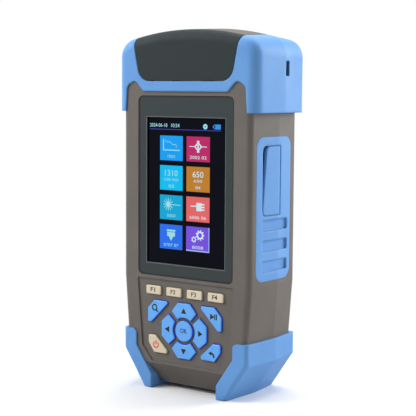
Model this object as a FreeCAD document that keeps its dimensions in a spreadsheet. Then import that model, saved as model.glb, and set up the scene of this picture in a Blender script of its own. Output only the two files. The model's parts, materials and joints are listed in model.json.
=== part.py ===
import FreeCAD, Part
import Sketcher
import math
import os

# A handheld optical time domain reflectometer, in millimetres.
# X points to the user's right, Y into the back of the case, Z up. The origin lies on the floor,
# under the middle of the case, which stands on its two lower corner guards.
# Both shells are drafted away from one seam plane, so most outlines are drawn on that plane.

SIZES = [
    # the case
    ("crown_rise", 38.2, "crown of the top over the bezel's upper edge"),
    ("seam_y", 1.6, "place of the seam plane"),
    ("front_depth", 25.9, "seam to the front face"),
    ("rear_depth", 21.5, "seam to the rear face"),
    ("front_draft", 3.3, "draft of the front half, degrees"),
    ("rear_draft", 4.8, "draft of the rear half, degrees"),
    ("half_width", 45.5, "half the width of the shells at the seam"),
    ("waist_in", 2.3, "how much each side draws in between the corner guards"),
    ("waist_top", 64.3, "height at which the sides start to draw in"),
    ("waist_low", 33.0, "height at which they are drawn in"),
    ("corner_top", 21.5, "height at which the lower corners start"),
    ("bottom_in", 15.7, "how far each side of the shells' bottom lies inside the waist"),
    ("foot_rise", 1.8, "shells' bottom above the floor"),
    ("crown_radius", 170.0, "radius of the arched top"),
    ("top_skin", 3.4, "depth of the shells' top under the crown"),
    ("shell_corner", 9.0, "radius of the shells' top corners"),
    ("front_edge", 3.4, "rounding round the front face"),
    ("rear_edge", 5.0, "rounding round the rear face"),
    ("front_wall", 3.0, "wall behind the front face"),
    ("rear_wall", 2.6, "wall in front of the rear face"),
    ("side_wall", 4.2, "side wall, thick enough for the inlaid pads"),
    ("hollow_under", 9.2, "top of the hollow inside, under the crown"),
    ("hollow_low", 17.5, "bottom of the hollow inside"),
    ("hollow_low_in", 8.2, "hollow's lower corners inside the waist"),
    ("hollow_corner", 8.0, "radius of the hollow's top corners"),
    ("fit_gap", 0.3, "gap between a piece and its seat"),
    # the chin under the keys
    ("chin_top", 14.8, "height at which the chin leaves the front face"),
    ("chin_depth", 7.2, "how far the chin draws back at the bottom"),
    ("chin_low", 3.4, "height of the chin's lower edge"),
    # the soft boot over the top
    ("boot_side", 3.8, "boot's thickness at the sides"),
    ("boot_front", 0.8, "how proud the boot is of the front face"),
    ("boot_rear", 2.0, "how proud the boot is of the rear face"),
    ("boot_corner", 12.0, "radius of the boot's top corners"),
    ("boot_under", 46.8, "boot's lower edge under the crown"),
    ("boot_front_edge", 6.5, "rounding round the boot's front"),
    ("boot_rear_edge", 5.5, "rounding round the boot's rear"),
    ("band_under", 35.5, "lower edge of the boot's band over the display, under the crown"),
    ("band_in", 16.5, "ends of that edge inside the shells' sides"),
    ("band_peak_in", 10.5, "where the edge has risen, inside the sides"),
    ("band_peak_under", 29.2, "depth of that place under the crown"),
    ("band_turn_in", 4.6, "where it turns down beside the display, inside the sides"),
    ("band_turn_under", 32.2, "depth of that turn under the crown"),
    ("band_round", 2.0, "radius at the ends of the lower edge"),
    ("band_peak_round", 3.0, "radius where the edge has risen"),
    ("band_turn_round", 4.0, "radius where it turns down"),
    ("band_foot_in", 3.1, "where the strip beside the display ends, inside the sides"),
    # the dust cover over the fibre ports
    ("cover_under", 29.5, "lower edge of the dust cover under the crown"),
    ("cover_low_in", 14.1, "its lower corners inside the shells' sides"),
    ("cover_top_in", 7.8, "its edges at the crown inside the shells' sides"),
    ("cover_corner", 8.0, "radius of its lower corners"),
    ("cover_wall", 2.4, "its wall"),
    ("cover_inner_edge", 3.5, "rounding inside its upper front edge"),
    ("cover_gap", 0.35, "gap round it"),
    ("cover_back", 2.2, "its rear edge behind the hinge line"),
    ("hinge_ahead", 2.4, "hinge line ahead of the seam"),
    ("hinge_under", 2.4, "hinge line under the crown"),
    ("hinge_barrel", 1.9, "radius of the hinge knuckles"),
    ("hinge_pin_radius", 0.8, "radius of the hinge pin"),
    ("hinge_play", 0.05, "radial play of the hinge pin in what turns"),
    ("hinge_grip", 0.01, "radial play of the pin in what holds it"),
    ("knuckle_inner", 4.8, "half the length of the middle knuckle"),
    ("knuckle_outer", 12.0, "outer end of the cover's knuckles"),
    ("knuckle_gap", 0.2, "gap between knuckles"),
    ("hinge_sweep", 4.7, "room kept round the hinge line"),
    ("hinge_ramp", 6.2, "where the ramp behind the hinge meets the crown"),
    ("hinge_ramp_foot", 1.0, "foot of that ramp over the hinge line"),
    # port tray and fibre ports
    ("tray_floor_under", 30.0, "top of the tray's floor under the crown"),
    ("tray_sheet", 1.8, "tray's wall"),
    ("tray_in", 10.1, "tray's inner sides inside the shells' sides"),
    ("tray_top_under", 13.0, "top of the tray's walls under the crown"),
    ("tray_back", 1.2, "front of the tray's rear wall, behind the seam"),
    ("port_pitch", 21.0, "spacing of the fibre ports"),
    ("port_y", -11.5, "line of the fibre ports"),
    ("ferrule_radius", 1.26, "bore of the ferrule sleeves"),
    ("sleeve_radius", 1.75, "outside of the ferrule sleeves"),
    ("port_flange", 13.0, "side of a port's flange"),
    ("port_flange_high", 1.8, "thickness of the flange"),
    ("port_flange_corner", 1.0, "radius of the flange's corners"),
    ("port_barrel", 4.0, "radius of the measuring port's barrel"),
    ("port_high", 10.5, "height of the ports over their flanges"),
    ("port_tail", 4.6, "radius of the part under the tray"),
    ("port_tail_long", 6.0, "length of the part under the tray"),
    ("meter_barrel", 5.6, "radius of the power meter port's barrel"),
    ("locator_barrel", 3.4, "radius of the fault locator port's barrel"),
    ("port_key", 2.2, "width of the key slot in a barrel"),
    # corner guards
    ("guard_side", 1.6, "guard's thickness at the side"),
    ("guard_front", 0.9, "how proud a guard is of the front face"),
    ("guard_rear", 1.4, "how proud a guard is of the rear face"),
    ("guard_top", 33.2, "height of a guard's upper edge"),
    ("guard_sole", 1.2, "how much of the drafted form the sole takes off"),
    ("guard_corner", 20.6, "height at which a guard's corner starts"),
    ("guard_sole_in", 13.4, "where the corner meets the sole, inside the waist"),
    ("guard_inner_in", 10.9, "inner edge beside the keys at the seam, inside the waist"),
    ("guard_front_in", 9.5, "inner edge beside the keys on the front, inside the waist"),
    ("guard_inner_low", 24.4, "bottom of that edge"),
    ("guard_turn", 3.2, "radius between that edge and the upper edge"),
    ("guard_foot_in", 21.8, "inner edge beside the chin, inside the waist"),
    ("guard_foot_z", 8.6, "height at which that edge starts"),
    ("guard_edge", 2.6, "rounding round a guard's front and rear"),
    # side pads and grip pockets
    ("pad_sunk", 2.9, "plane of the side pads' seats inside the shells' sides"),
    ("pad_front", -18.9, "front edge of a pad"),
    ("pad_rear", 15.1, "rear edge of a pad"),
    ("pad_low", 66.7, "lower edge of a pad"),
    ("pad_under", 59.7, "upper edge of a pad under the crown"),
    ("pad_corner", 6.0, "radius of a pad's corners"),
    ("grip_front", -13.1, "front end of the grip pockets"),
    ("grip_rear", 11.6, "rear end of the grip pockets"),
    ("grip_rise", 5.0, "lower edge of the lowest pocket over the pad's lower edge"),
    ("grip_high", 6.1, "height of a pocket"),
    ("grip_pitch", 11.3, "spacing of the pockets"),
    ("grip_sunk", 2.0, "plane of the pockets' floors inside the shells' sides"),
    ("grip_corner", 1.0, "radius of a pocket's corners"),
    # port flap at the right side
    ("window_front", -13.3, "front edge of the flap's window"),
    ("window_under", 4.9, "upper edge of the window under the pad's upper edge"),
    ("window_tall", 38.4, "height of the window"),
    ("window_corner", 3.0, "radius of the window's corners"),
    ("flap_lean", 3.6, "how much more the flap is cut back at its top"),
    ("flap_sunk", 2.4, "inner plane of the flap inside the shells' sides"),
    ("flap_line_in", 1.2, "hinge line of the flap inside the shells' sides"),
    ("flap_line_behind", 0.6, "hinge line of the flap behind the seam"),
    ("flap_barrel", 1.0, "radius of the flap's knuckle"),
    ("flap_pin_radius", 0.5, "radius of the flap's pin"),
    ("flap_rear_gap", 0.45, "gap behind the flap's knuckle"),
    ("flap_tail", 0.5, "how far the flap's plate runs behind its pin"),
    ("flap_pin_end", 1.6, "length of the pin's ends in the pad"),
    ("recess_front", -10.8, "front edge of the socket recess, open at the seam"),
    ("socket_y", -4.95, "line of the sockets' middles"),
    ("recess_rise", 2.8, "lower edge of the socket recess over the window's lower edge"),
    ("recess_tall", 32.0, "height of the socket recess"),
    # lanyard slot
    ("slot_under", 18.5, "upper end of the lanyard slot under the crown"),
    ("slot_tall", 8.1, "height of the slot"),
    ("slot_front", 1.6, "front edge of the slot"),
    ("slot_wide", 3.8, "width of the slot"),
    ("slot_deep", 3.0, "depth of the slot in the rear shell"),
    ("strap_bar_radius", 0.8, "radius of the strap bar"),
    # display
    ("bezel_wide", 65.6, "width of the bezel"),
    ("bezel_low", 65.8, "lower edge of the bezel"),
    ("bezel_foot", 7.3, "bezel's edge under the visible display"),
    ("bezel_brow", 11.9, "bezel's edge over the visible display"),
    ("bezel_break", 0.3, "chamfer round the bezel's window"),
    ("bezel_corner", 3.0, "radius of the bezel's corners"),
    ("bezel_inset", 0.4, "bezel's face under the front face"),
    ("bezel_thick", 1.0, "thickness of the bezel"),
    ("view_wide", 54.0, "width of the visible display"),
    ("view_high", 82.4, "height of the visible display"),
    ("glass_wide", 61.0, "width of the display glass"),
    ("glass_high", 91.0, "height of the display glass"),
    ("glass_thick", 1.2, "thickness of the display glass"),
    # keypad
    ("plate_top", 63.6, "upper edge of the keypad recess"),
    ("plate_top_in", 11.9, "its upper corners inside the shells' sides"),
    ("plate_side", 24.6, "height at which its lower corners start"),
    ("plate_side_in", 15.3, "its side corners inside the shells' sides"),
    ("plate_low", 15.8, "lower edge of the recess"),
    ("plate_low_in", 22.5, "its lower corners inside the shells' sides"),
    ("plate_deep", 0.8, "depth of the recess"),
    ("plate_corner", 1.2, "radius of its corners"),
    ("key_travel", 0.8, "travel of a key"),
    ("key_proud", 0.4, "key tops in front of the front face"),
    ("key_gap", 0.25, "gap round a key"),
    ("key_break", 0.4, "chamfer round a key's top"),
    ("key_corner", 0.9, "radius of a key's corners"),
    ("key_flange", 0.6, "width of the flange that holds a key in"),
    ("key_flange_thick", 0.8, "thickness of that flange"),
    ("key_rest", 0.12, "gap between flange and wall"),
    ("keypad_z", 35.7, "height of the OK key's middle"),
    ("ok_radius", 6.0, "radius of the OK key"),
    ("function_pitch", 14.5, "spacing of the function keys"),
    ("function_wide", 10.7, "width of a function key"),
    ("function_high", 5.1, "height of a function key"),
    ("function_z", 57.2, "height of the function keys' line"),
    ("arrow_inner", 7.7, "radius of the ring inside the arrow keys"),
    ("arrow_reach", 15.9, "how far an arrow key reaches"),
    ("arrow_tip_half", 4.3, "half the width of its outer end"),
    ("arrow_shoulder", 10.8, "how far out its shoulders lie"),
    ("arrow_shoulder_half", 8.7, "half its width at the shoulders"),
    ("arrow_root_half", 4.6, "half its width at the root, on the ring"),
    ("upper_near", 11.8, "inner end of an upper corner key"),
    ("upper_high", 15.8, "its upper edge over the OK key's middle"),
    ("upper_near_low", 14.2, "lower corner of its inner end"),
    ("upper_far", 25.9, "its outer edge"),
    ("upper_shoulder_x", 21.2, "where its upper edge ends"),
    ("upper_shoulder_z", 10.8, "where its outer edge ends"),
    ("upper_low", 2.8, "its lower edge"),
    ("upper_low_x", 23.3, "where its lower edge ends"),
    ("lower_near", 11.9, "inner end of a lower corner key"),
    ("lower_deep", 14.6, "its lower edge under the OK key's middle"),
    ("lower_near_z", 12.5, "upper corner of its inner end"),
    ("lower_far", 25.3, "its outer edge"),
    ("lower_shoulder_x", 21.3, "where its lower edge ends"),
    ("lower_shoulder_z", 9.0, "where its outer edge ends"),
    ("lower_top", 4.6, "its upper edge under the OK key's middle"),
    ("lower_top_x", 20.1, "where its upper edge ends"),
    ("mat_thick", 0.9, "thickness of the key mat"),
    ("mat_low", 19.4, "lower edge of the key mat"),
    ("mat_high", 62.0, "upper edge of the key mat"),
    # boards and inner modules
    ("board_half", 31.0, "half the width of the main board and the mat"),
    ("board_thick", 1.6, "thickness of a circuit board"),
    ("board_under", 55.6, "upper edge of the main board under the crown"),
    ("optics_half", 30.0, "half the width of the optical module"),
    ("optics_high", 14.0, "height of the optical module"),
    ("optics_deep", 24.0, "depth of the optical module"),
    ("optics_ahead", 3.6, "front of the optical module ahead of the ports' line"),
    ("jack_wide", 16.0, "width of the network jack"),
    ("jack_long", 15.0, "length of the network jack"),
    ("jack_rise", 25.0, "network jack's middle over the window's lower edge"),
    ("jack_mouth_wide", 11.8, "width of the jack's mouth"),
    ("jack_mouth_high", 8.0, "height of the jack's mouth"),
    ("jack_mouth_deep", 12.0, "depth of the jack's mouth"),
    ("jack_lip", 1.2, "wall in front of the mouth"),
    ("charge_wide", 9.2, "width of the charging socket"),
    ("charge_high", 3.4, "height of the charging socket"),
    ("charge_long", 7.6, "length of the charging socket"),
    ("charge_rise", 8.8, "charging socket's middle over the window's lower edge"),
    ("charge_wall", 0.35, "sheet of the charging socket"),
    ("tongue_wide", 6.2, "width of the charging socket's tongue"),
    ("tongue_back", 1.0, "end of the tongue behind the socket's mouth"),
    ("side_board_over", 3.0, "how far the side board runs on behind the jack"),
    ("side_board_gap", 1.5, "gap between the side board and the side wall"),
    ("socket_in", 3.6, "plane of the sockets' mouths inside the shells' sides"),
    # battery and its door
    ("battery_half", 30.0, "half the width of the battery"),
    ("battery_low", 58.0, "lower end of the battery"),
    ("battery_high", 121.0, "upper end of the battery"),
    ("battery_thick", 13.6, "thickness of the battery"),
    ("bay_wall", 1.6, "wall of the battery bay"),
    ("bay_gap", 0.5, "gap round the battery"),
    ("bay_head", 8.0, "height of the bar over the bay"),
    ("door_lap", 2.0, "how far the door laps over the bay's walls"),
    ("door_thick", 1.6, "thickness of the battery door"),
    ("door_corner", 4.0, "radius of the door's corners"),
    ("door_screw_x", 22.0, "place of the door's screws"),
    # screws
    ("screw_radius", 1.3, "radius of a screw's shank"),
    ("screw_grip", 0.02, "radial play of the shank in its boss"),
    ("screw_play", 0.3, "radial play of the shank in the rear shell"),
    ("screw_head", 2.4, "radius of a screw's head"),
    ("screw_head_high", 1.6, "height of a screw's head"),
    ("screw_drive", 1.1, "corner radius of the hexagon recess in a screw's head"),
    ("screw_sink", 1.0, "depth of a screw's head under the face"),
    ("case_screw_in", 9.9, "case screws inside the shells' sides"),
    ("case_screw_low", 46.0, "height of the lower case screws"),
    ("case_screw_under", 55.6, "upper case screws under the crown"),
    ("case_screw_long", 26.0, "length of a case screw's shank"),
    ("door_screw_long", 7.0, "length of a door screw's shank"),
    ("door_screw_head", 1.0, "height of a door screw's head, sunk in the door"),
    ("boss_radius", 3.6, "radius of a screw boss"),
]

doc = FreeCAD.newDocument("reflectometer")
sheet = doc.addObject("Spreadsheet::Sheet", "Sizes")
for row, (alias, number, meaning) in enumerate(SIZES, start=1):
    sheet.set(f"A{row}", str(number))
    sheet.setAlias(f"A{row}", alias)
    sheet.set(f"B{row}", meaning)
doc.recompute()


class Size:
    # a number together with the expression on the sheet that gives it
    def __init__(self, value, text):
        self.value = float(value)
        self.text = text

    def __add__(self, other):
        other = as_size(other)
        return Size(self.value + other.value, f"({self.text} + {other.text})")

    def __sub__(self, other):
        other = as_size(other)
        return Size(self.value - other.value, f"({self.text} - {other.text})")

    def __mul__(self, other):
        other = as_size(other)
        return Size(self.value * other.value, f"{self.text} * {other.text}")

    def __truediv__(self, other):
        other = as_size(other)
        return Size(self.value / other.value, f"{self.text} / {other.text}")

    def __neg__(self):
        return Size(-self.value, f"(-1 * {self.text})")

    def __radd__(self, other):
        return as_size(other) + self

    def __rsub__(self, other):
        return as_size(other) - self


def as_size(thing):
    return thing if isinstance(thing, Size) else Size(thing, f"({float(thing)!r})")


def dim(alias):
    return Size(sheet.get(alias), f"Sizes.{alias}")


def bind(thing, path, size):
    thing.setExpression(path, as_size(size).text)


# Sketches: corners are (x, y) or (x, y, radius), and every coordinate is tied to the sheet

def place_sketch(body, name, role, offset):
    plane = next(item for item in body.Origin.OriginFeatures if item.Role == role)
    sketch = body.newObject("Sketcher::SketchObject", name)
    sketch.AttachmentSupport = [(plane, "")]
    sketch.MapMode = "FlatFace"
    bind(sketch, "AttachmentOffset.Base.z", offset)
    return sketch


def front_sketch(body, name, y):
    # drawn in X and Z, seen from the front, and its features run towards the front
    return place_sketch(body, name, "XZ_Plane", -as_size(y))


def plan_sketch(body, name, z):
    # drawn in X and Y, and its features run upwards
    return place_sketch(body, name, "XY_Plane", as_size(z))


def side_sketch(body, name, x):
    # drawn in Y and Z, and its features run towards +X
    return place_sketch(body, name, "YZ_Plane", as_size(x))


def tie(sketch, kind, geometry, point, size):
    # a distance of one point from the sketch's origin, along x or y
    size = as_size(size)
    index = sketch.addConstraint(Sketcher.Constraint(kind, -1, 1, geometry, point, size.value))
    bind(sketch, f"Constraints[{index}]", size)


def tie_radius(sketch, geometry, size):
    size = as_size(size)
    index = sketch.addConstraint(Sketcher.Constraint("Radius", geometry, size.value))
    bind(sketch, f"Constraints[{index}]", size)


def vector(x, y):
    return FreeCAD.Vector(x, y, 0)


def unit(a, b):
    step = b - a
    return step / step.Length


def draw_polygon(sketch, corners):
    # a closed outline of straight edges, with a tangent arc at each corner that has a radius
    points = [vector(as_size(c[0]).value, as_size(c[1]).value) for c in corners]
    radii = [as_size(c[2]) if len(c) > 2 else None for c in corners]
    count = len(points)
    starts = []
    ends = []
    for i in range(count):
        before = unit(points[i], points[i - 1])
        after = unit(points[i], points[(i + 1) % count])
        reach = 0
        if radii[i]:
            reach = radii[i].value / math.tan(before.getAngle(after) / 2)
        ends.append(points[i] + before * reach)
        starts.append(points[i] + after * reach)
    lines = []
    for i in range(count):
        lines.append(sketch.addGeometry(Part.LineSegment(starts[i], ends[(i + 1) % count])))
    for i in range(count):
        coming = lines[i - 1]
        leaving = lines[i]
        if not radii[i]:
            sketch.addConstraint(Sketcher.Constraint("Coincident", coming, 2, leaving, 1))
            tie(sketch, "DistanceX", leaving, 1, corners[i][0])
            tie(sketch, "DistanceY", leaving, 1, corners[i][1])
            continue
        before = unit(points[i], points[i - 1])
        after = unit(points[i], points[(i + 1) % count])
        middle = (before + after).normalize()
        centre = points[i] + middle * (radii[i].value / math.sin(before.getAngle(after) / 2))
        first = ends[i] - centre
        last = starts[i] - centre
        left_turn = first.cross(last).z > 0
        angles = [math.atan2(first.y, first.x), math.atan2(last.y, last.x)]
        if not left_turn:
            angles.reverse()
        circle = Part.Circle(centre, FreeCAD.Vector(0, 0, 1), radii[i].value)
        arc = sketch.addGeometry(Part.ArcOfCircle(circle, angles[0], angles[1]))
        corner = sketch.addGeometry(Part.Point(points[i]))
        sketch.toggleConstruction(corner)
        entry, leave = (1, 2) if left_turn else (2, 1)
        sketch.addConstraint(Sketcher.Constraint("Tangent", coming, 2, arc, entry))
        sketch.addConstraint(Sketcher.Constraint("Tangent", arc, leave, leaving, 1))
        sketch.addConstraint(Sketcher.Constraint("PointOnObject", corner, 1, coming))
        sketch.addConstraint(Sketcher.Constraint("PointOnObject", corner, 1, leaving))
        tie_radius(sketch, arc, radii[i])
        tie(sketch, "DistanceX", corner, 1, corners[i][0])
        tie(sketch, "DistanceY", corner, 1, corners[i][1])


def draw_circle(sketch, x, y, radius):
    centre = vector(as_size(x).value, as_size(y).value)
    circle = Part.Circle(centre, FreeCAD.Vector(0, 0, 1), as_size(radius).value)
    index = sketch.addGeometry(circle)
    tie(sketch, "DistanceX", index, 3, x)
    tie(sketch, "DistanceY", index, 3, y)
    tie_radius(sketch, index, radius)


def draw_crowned(sketch, half, top, crown, corner, lower):
    # an outline with upright sides, an arched top and rounded top corners; lower lists its
    # other corners from the foot of the left side round to the foot of the right side
    a = as_size(half).value
    big = as_size(crown).value
    small = as_size(corner).value
    centre = vector(0, as_size(top).value - big)
    rise = math.sqrt((big - small) ** 2 - (a - small) ** 2)
    lean = math.atan2(rise, a - small)
    axis = FreeCAD.Vector(0, 0, 1)
    right = vector(a - small, centre.y + rise)
    left = vector(small - a, centre.y + rise)
    points = [vector(as_size(x).value, as_size(y).value) for x, y in lower]
    side_up = sketch.addGeometry(Part.LineSegment(points[-1], vector(a, right.y)))
    turn_right = sketch.addGeometry(Part.ArcOfCircle(Part.Circle(right, axis, small), 0, lean))
    arch = sketch.addGeometry(Part.ArcOfCircle(Part.Circle(centre, axis, big), lean, math.pi - lean))
    turn_left = sketch.addGeometry(
        Part.ArcOfCircle(Part.Circle(left, axis, small), math.pi - lean, math.pi))
    side_down = sketch.addGeometry(Part.LineSegment(vector(-a, left.y), points[0]))
    chain = [side_down]
    for i in range(len(points) - 1):
        chain.append(sketch.addGeometry(Part.LineSegment(points[i], points[i + 1])))
    chain.append(side_up)
    for joint in ((side_up, 2, turn_right, 1), (turn_right, 2, arch, 1),
                  (arch, 2, turn_left, 1), (turn_left, 2, side_down, 1)):
        sketch.addConstraint(Sketcher.Constraint("Tangent", *joint))
    sketch.addConstraint(Sketcher.Constraint("Vertical", side_up))
    sketch.addConstraint(Sketcher.Constraint("Vertical", side_down))
    sketch.addConstraint(Sketcher.Constraint("PointOnObject", arch, 3, -2))
    tie_radius(sketch, turn_right, corner)
    tie_radius(sketch, turn_left, corner)
    tie_radius(sketch, arch, crown)
    tie(sketch, "DistanceY", arch, 3, as_size(top) - as_size(crown))
    for i in range(len(points)):
        sketch.addConstraint(Sketcher.Constraint("Coincident", chain[i], 2, chain[i + 1], 1))
        tie(sketch, "DistanceX", chain[i + 1], 1, lower[i][0])
        tie(sketch, "DistanceY", chain[i + 1], 1, lower[i][1])


def grow(corners, gap):
    # the same outline with every edge moved out by gap, for corners in counter-clockwise order
    gap = as_size(gap)
    points = [vector(as_size(c[0]).value, as_size(c[1]).value) for c in corners]
    grown = []
    for i, corner in enumerate(corners):
        before = unit(points[i - 1], points[i])
        after = unit(points[i], points[(i + 1) % len(points)])
        out_before = vector(before.y, -before.x)
        out_after = vector(after.y, -after.x)
        share = (out_before + out_after) / (1 + out_before.dot(out_after))
        moved = [as_size(corner[0]) + gap * share.x, as_size(corner[1]) + gap * share.y]
        if len(corner) > 2:
            moved.append(as_size(corner[2]) + gap)
        grown.append(tuple(moved))
    return grown


# Features: each reads its lengths from the sheet and leaves the body's tip on itself

def new_body(name):
    body = doc.addObject("PartDesign::Body", name)
    body.Label = name
    return body


def pad(body, sketch, length, back=False, draft=None):
    feature = body.newObject("PartDesign::Pad", f"{sketch.Name}_pad")
    feature.Profile = sketch
    bind(feature, "Length", length)
    feature.Reversed = back
    if draft is not None:
        bind(feature, "TaperAngle", -draft)
    sketch.Visibility = False
    doc.recompute()
    return feature


def pocket(body, sketch, length, back=False, draft=None):
    # cuts against the sketch's direction, or along it when back is set
    feature = body.newObject("PartDesign::Pocket", f"{sketch.Name}_pocket")
    feature.Profile = sketch
    bind(feature, "Length", length)
    feature.Reversed = back
    if draft is not None:
        bind(feature, "TaperAngle", -draft)
    doc.recompute()
    return feature


def edges_where(shape, wanted):
    return [f"Edge{i}" for i, edge in enumerate(shape.Edges, start=1) if wanted(edge)]


def round_edges(body, base, wanted, radius):
    feature = body.newObject("PartDesign::Fillet", f"{base.Name}_round")
    feature.Base = (base, edges_where(base.Shape, wanted))
    bind(feature, "Radius", radius)
    doc.recompute()
    return feature


def bevel_edges(body, base, wanted, size):
    feature = body.newObject("PartDesign::Chamfer", f"{base.Name}_bevel")
    feature.Base = (base, edges_where(base.Shape, wanted))
    bind(feature, "Size", size)
    doc.recompute()
    return feature


def on_plane_y(y):
    place = as_size(y).value

    def wanted(edge):
        box = edge.BoundBox
        return abs(box.YMin - place) < 0.001 and abs(box.YMax - place) < 0.001
    return wanted


def on_plane_y_above(y, z):
    on_plane = on_plane_y(y)
    low = as_size(z).value

    def wanted(edge):
        return on_plane(edge) and edge.BoundBox.ZMax > low
    return wanted


def boolean(kind, name, base, tool):
    feature = doc.addObject(f"Part::{kind}", name)
    feature.Label = name
    feature.Base = base
    feature.Tool = tool
    doc.recompute()
    return feature


def fuse(name, pieces):
    if len(pieces) == 1:
        return pieces[0]
    feature = doc.addObject("Part::MultiFuse", name)
    feature.Label = name
    feature.Shapes = pieces
    feature.Refine = True
    doc.recompute()
    return feature


def box(name, low, high):
    # a block between two corners, each given as three sizes
    block = doc.addObject("Part::Box", name)
    block.Label = name
    for path, start, end in zip(("Length", "Width", "Height"), low, high):
        bind(block, path, as_size(end) - as_size(start))
    for axis, start in zip("xyz", low):
        bind(block, f"Placement.Base.{axis}", start)
    doc.recompute()
    return block


TURNS = {"X": FreeCAD.Rotation(FreeCAD.Vector(0, 1, 0), 90),
         "Y": FreeCAD.Rotation(FreeCAD.Vector(1, 0, 0), -90),
         "Z": FreeCAD.Rotation()}


def rod(name, direction, start, radius, length):
    # a cylinder that starts at a point and runs along one axis
    cylinder = doc.addObject("Part::Cylinder", name)
    cylinder.Label = name
    cylinder.Placement = FreeCAD.Placement(FreeCAD.Vector(), TURNS[direction])
    bind(cylinder, "Radius", radius)
    bind(cylinder, "Height", length)
    for axis, place in zip("xyz", start):
        bind(cylinder, f"Placement.Base.{axis}", place)
    doc.recompute()
    return cylinder


# Planes and lines that several pieces share
seam = dim("seam_y")
front_face = seam - dim("front_depth")
rear_face = seam + dim("rear_depth")
front_inside = front_face + dim("front_wall")
rear_inside = rear_face - dim("rear_wall")
boot_front_face = front_face - dim("boot_front")
boot_rear_face = rear_face + dim("boot_rear")
half_width = dim("half_width")
waist_half = half_width - dim("waist_in")
bottom_half = waist_half - dim("bottom_in")
hollow_low_half = waist_half - dim("hollow_low_in")
gap = dim("fit_gap")
hinge_y = seam - dim("hinge_ahead")
display_low = dim("bezel_low") + dim("bezel_foot")
display_high = display_low + dim("view_high")
display_z = display_low + dim("view_high") / 2
bezel_high = display_high + dim("bezel_brow")
crown = bezel_high + dim("crown_rise")
hinge_z = crown - dim("hinge_under")
hollow_top = crown - dim("hollow_under")
boot_low = crown - dim("boot_under")
cover_low = crown - dim("cover_under")
tray_floor = crown - dim("tray_floor_under")
slot_high = crown - dim("slot_under")
slot_low = slot_high - dim("slot_tall")
pad_high = crown - dim("pad_under")
window_high = pad_high - dim("window_under")
window_low = window_high - dim("window_tall")
recess_low = window_low + dim("recess_rise")
recess_high = recess_low + dim("recess_tall")
pad_seat = half_width - dim("pad_sunk")
flap_line_x = half_width - dim("flap_line_in")
flap_line_y = seam + dim("flap_line_behind")
cover_low_half = half_width - dim("cover_low_in")
cover_top_half = half_width - dim("cover_top_in")
flange_front = front_inside + dim("key_rest")
flange_back = flange_front + dim("key_flange_thick")
mat_front = flange_back + dim("key_travel") + dim("key_rest")
board_front = mat_front + dim("mat_thick")
board_back = board_front + dim("board_thick")
bezel_front = front_face + dim("bezel_inset")
bezel_back = bezel_front + dim("bezel_thick")
glass_back = bezel_back + dim("glass_thick")
tray_under = tray_floor - dim("tray_sheet")
door_inside = rear_face - dim("door_thick")
door_screw_z = dim("battery_high") + dim("bay_gap") + dim("bay_head") / 2
# cutting pieces run past what they cut by margin, and joined pieces reach into each other by overlap
margin = 2.0
overlap = 0.5
hair = 0.01
# drafted forms run on by spare past an edge that is cut straight
spare = 6.0

CASE_LOWER = [
    (-half_width, dim("waist_top")), (-waist_half, dim("waist_low")),
    (-waist_half, dim("corner_top")), (-bottom_half, dim("foot_rise")),
    (bottom_half, dim("foot_rise")), (waist_half, dim("corner_top")),
    (waist_half, dim("waist_low")), (half_width, dim("waist_top")),
]
hollow_half = half_width - dim("side_wall")
hollow_waist = waist_half - dim("side_wall")
HOLLOW = [
    (-hollow_low_half, dim("hollow_low")), (hollow_low_half, dim("hollow_low")),
    (hollow_waist, dim("waist_low")), (hollow_half, dim("waist_top")),
    (hollow_half, hollow_top, dim("hollow_corner")),
    (-hollow_half, hollow_top, dim("hollow_corner")),
    (-hollow_half, dim("waist_top")), (-hollow_waist, dim("waist_low")),
]
COVER = [
    (-cover_low_half, cover_low, dim("cover_corner")),
    (cover_low_half, cover_low, dim("cover_corner")),
    (cover_top_half, crown + margin),
    (-cover_top_half, crown + margin),
]


def rectangle(left, right, low, high, radius=None):
    corners = [(left, low), (right, low), (right, high), (left, high)]
    if radius is None:
        return corners
    return [corner + (radius,) for corner in corners]


def mirrored(corners):
    return [(-corner[0],) + corner[1:] for corner in reversed(corners)]


PAD = rectangle(dim("pad_front"), dim("pad_rear"), dim("pad_low"), pad_high, dim("pad_corner"))


def prism(name, sketch_maker, place, corners, length, back=False):
    # a straight block of one outline, used as a piece or to cut one
    body = new_body(name)
    sketch = sketch_maker(body, f"{name}_outline", place)
    draw_polygon(sketch, corners)
    pad(body, sketch, length, back)
    return body


# Two drafted forms: the shells' outside, and the outside of the boot over it

def drafted_form(name, outline, front, rear, wanted_edges, front_radius, rear_radius):
    body = new_body(name)
    sketch = front_sketch(body, f"{name}_outline", seam)
    outline(sketch)
    pad(body, sketch, seam - front, draft=dim("front_draft"))
    tip = pad(body, sketch, rear - seam, back=True, draft=dim("rear_draft"))
    tip = round_edges(body, tip, wanted_edges(front), front_radius)
    round_edges(body, tip, wanted_edges(rear), rear_radius)
    return body


def case_outline(sketch):
    draw_crowned(sketch, half_width, crown - dim("top_skin"),
                 dim("crown_radius") - dim("top_skin"), dim("shell_corner"), CASE_LOWER)


def boot_outline(sketch):
    side = half_width + dim("boot_side")
    low = boot_low - spare
    draw_crowned(sketch, side, crown, dim("crown_radius"), dim("boot_corner"),
                 [(-side, low), (side, low)])


def boot_edges(y):
    return on_plane_y_above(y, boot_low)


case_form = drafted_form("case_form", case_outline, front_face, rear_face, on_plane_y,
                         dim("front_edge"), dim("rear_edge"))
boot_form = drafted_form("boot_form", boot_outline, boot_front_face, boot_rear_face, boot_edges,
                         dim("boot_front_edge"), dim("boot_rear_edge"))

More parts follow.
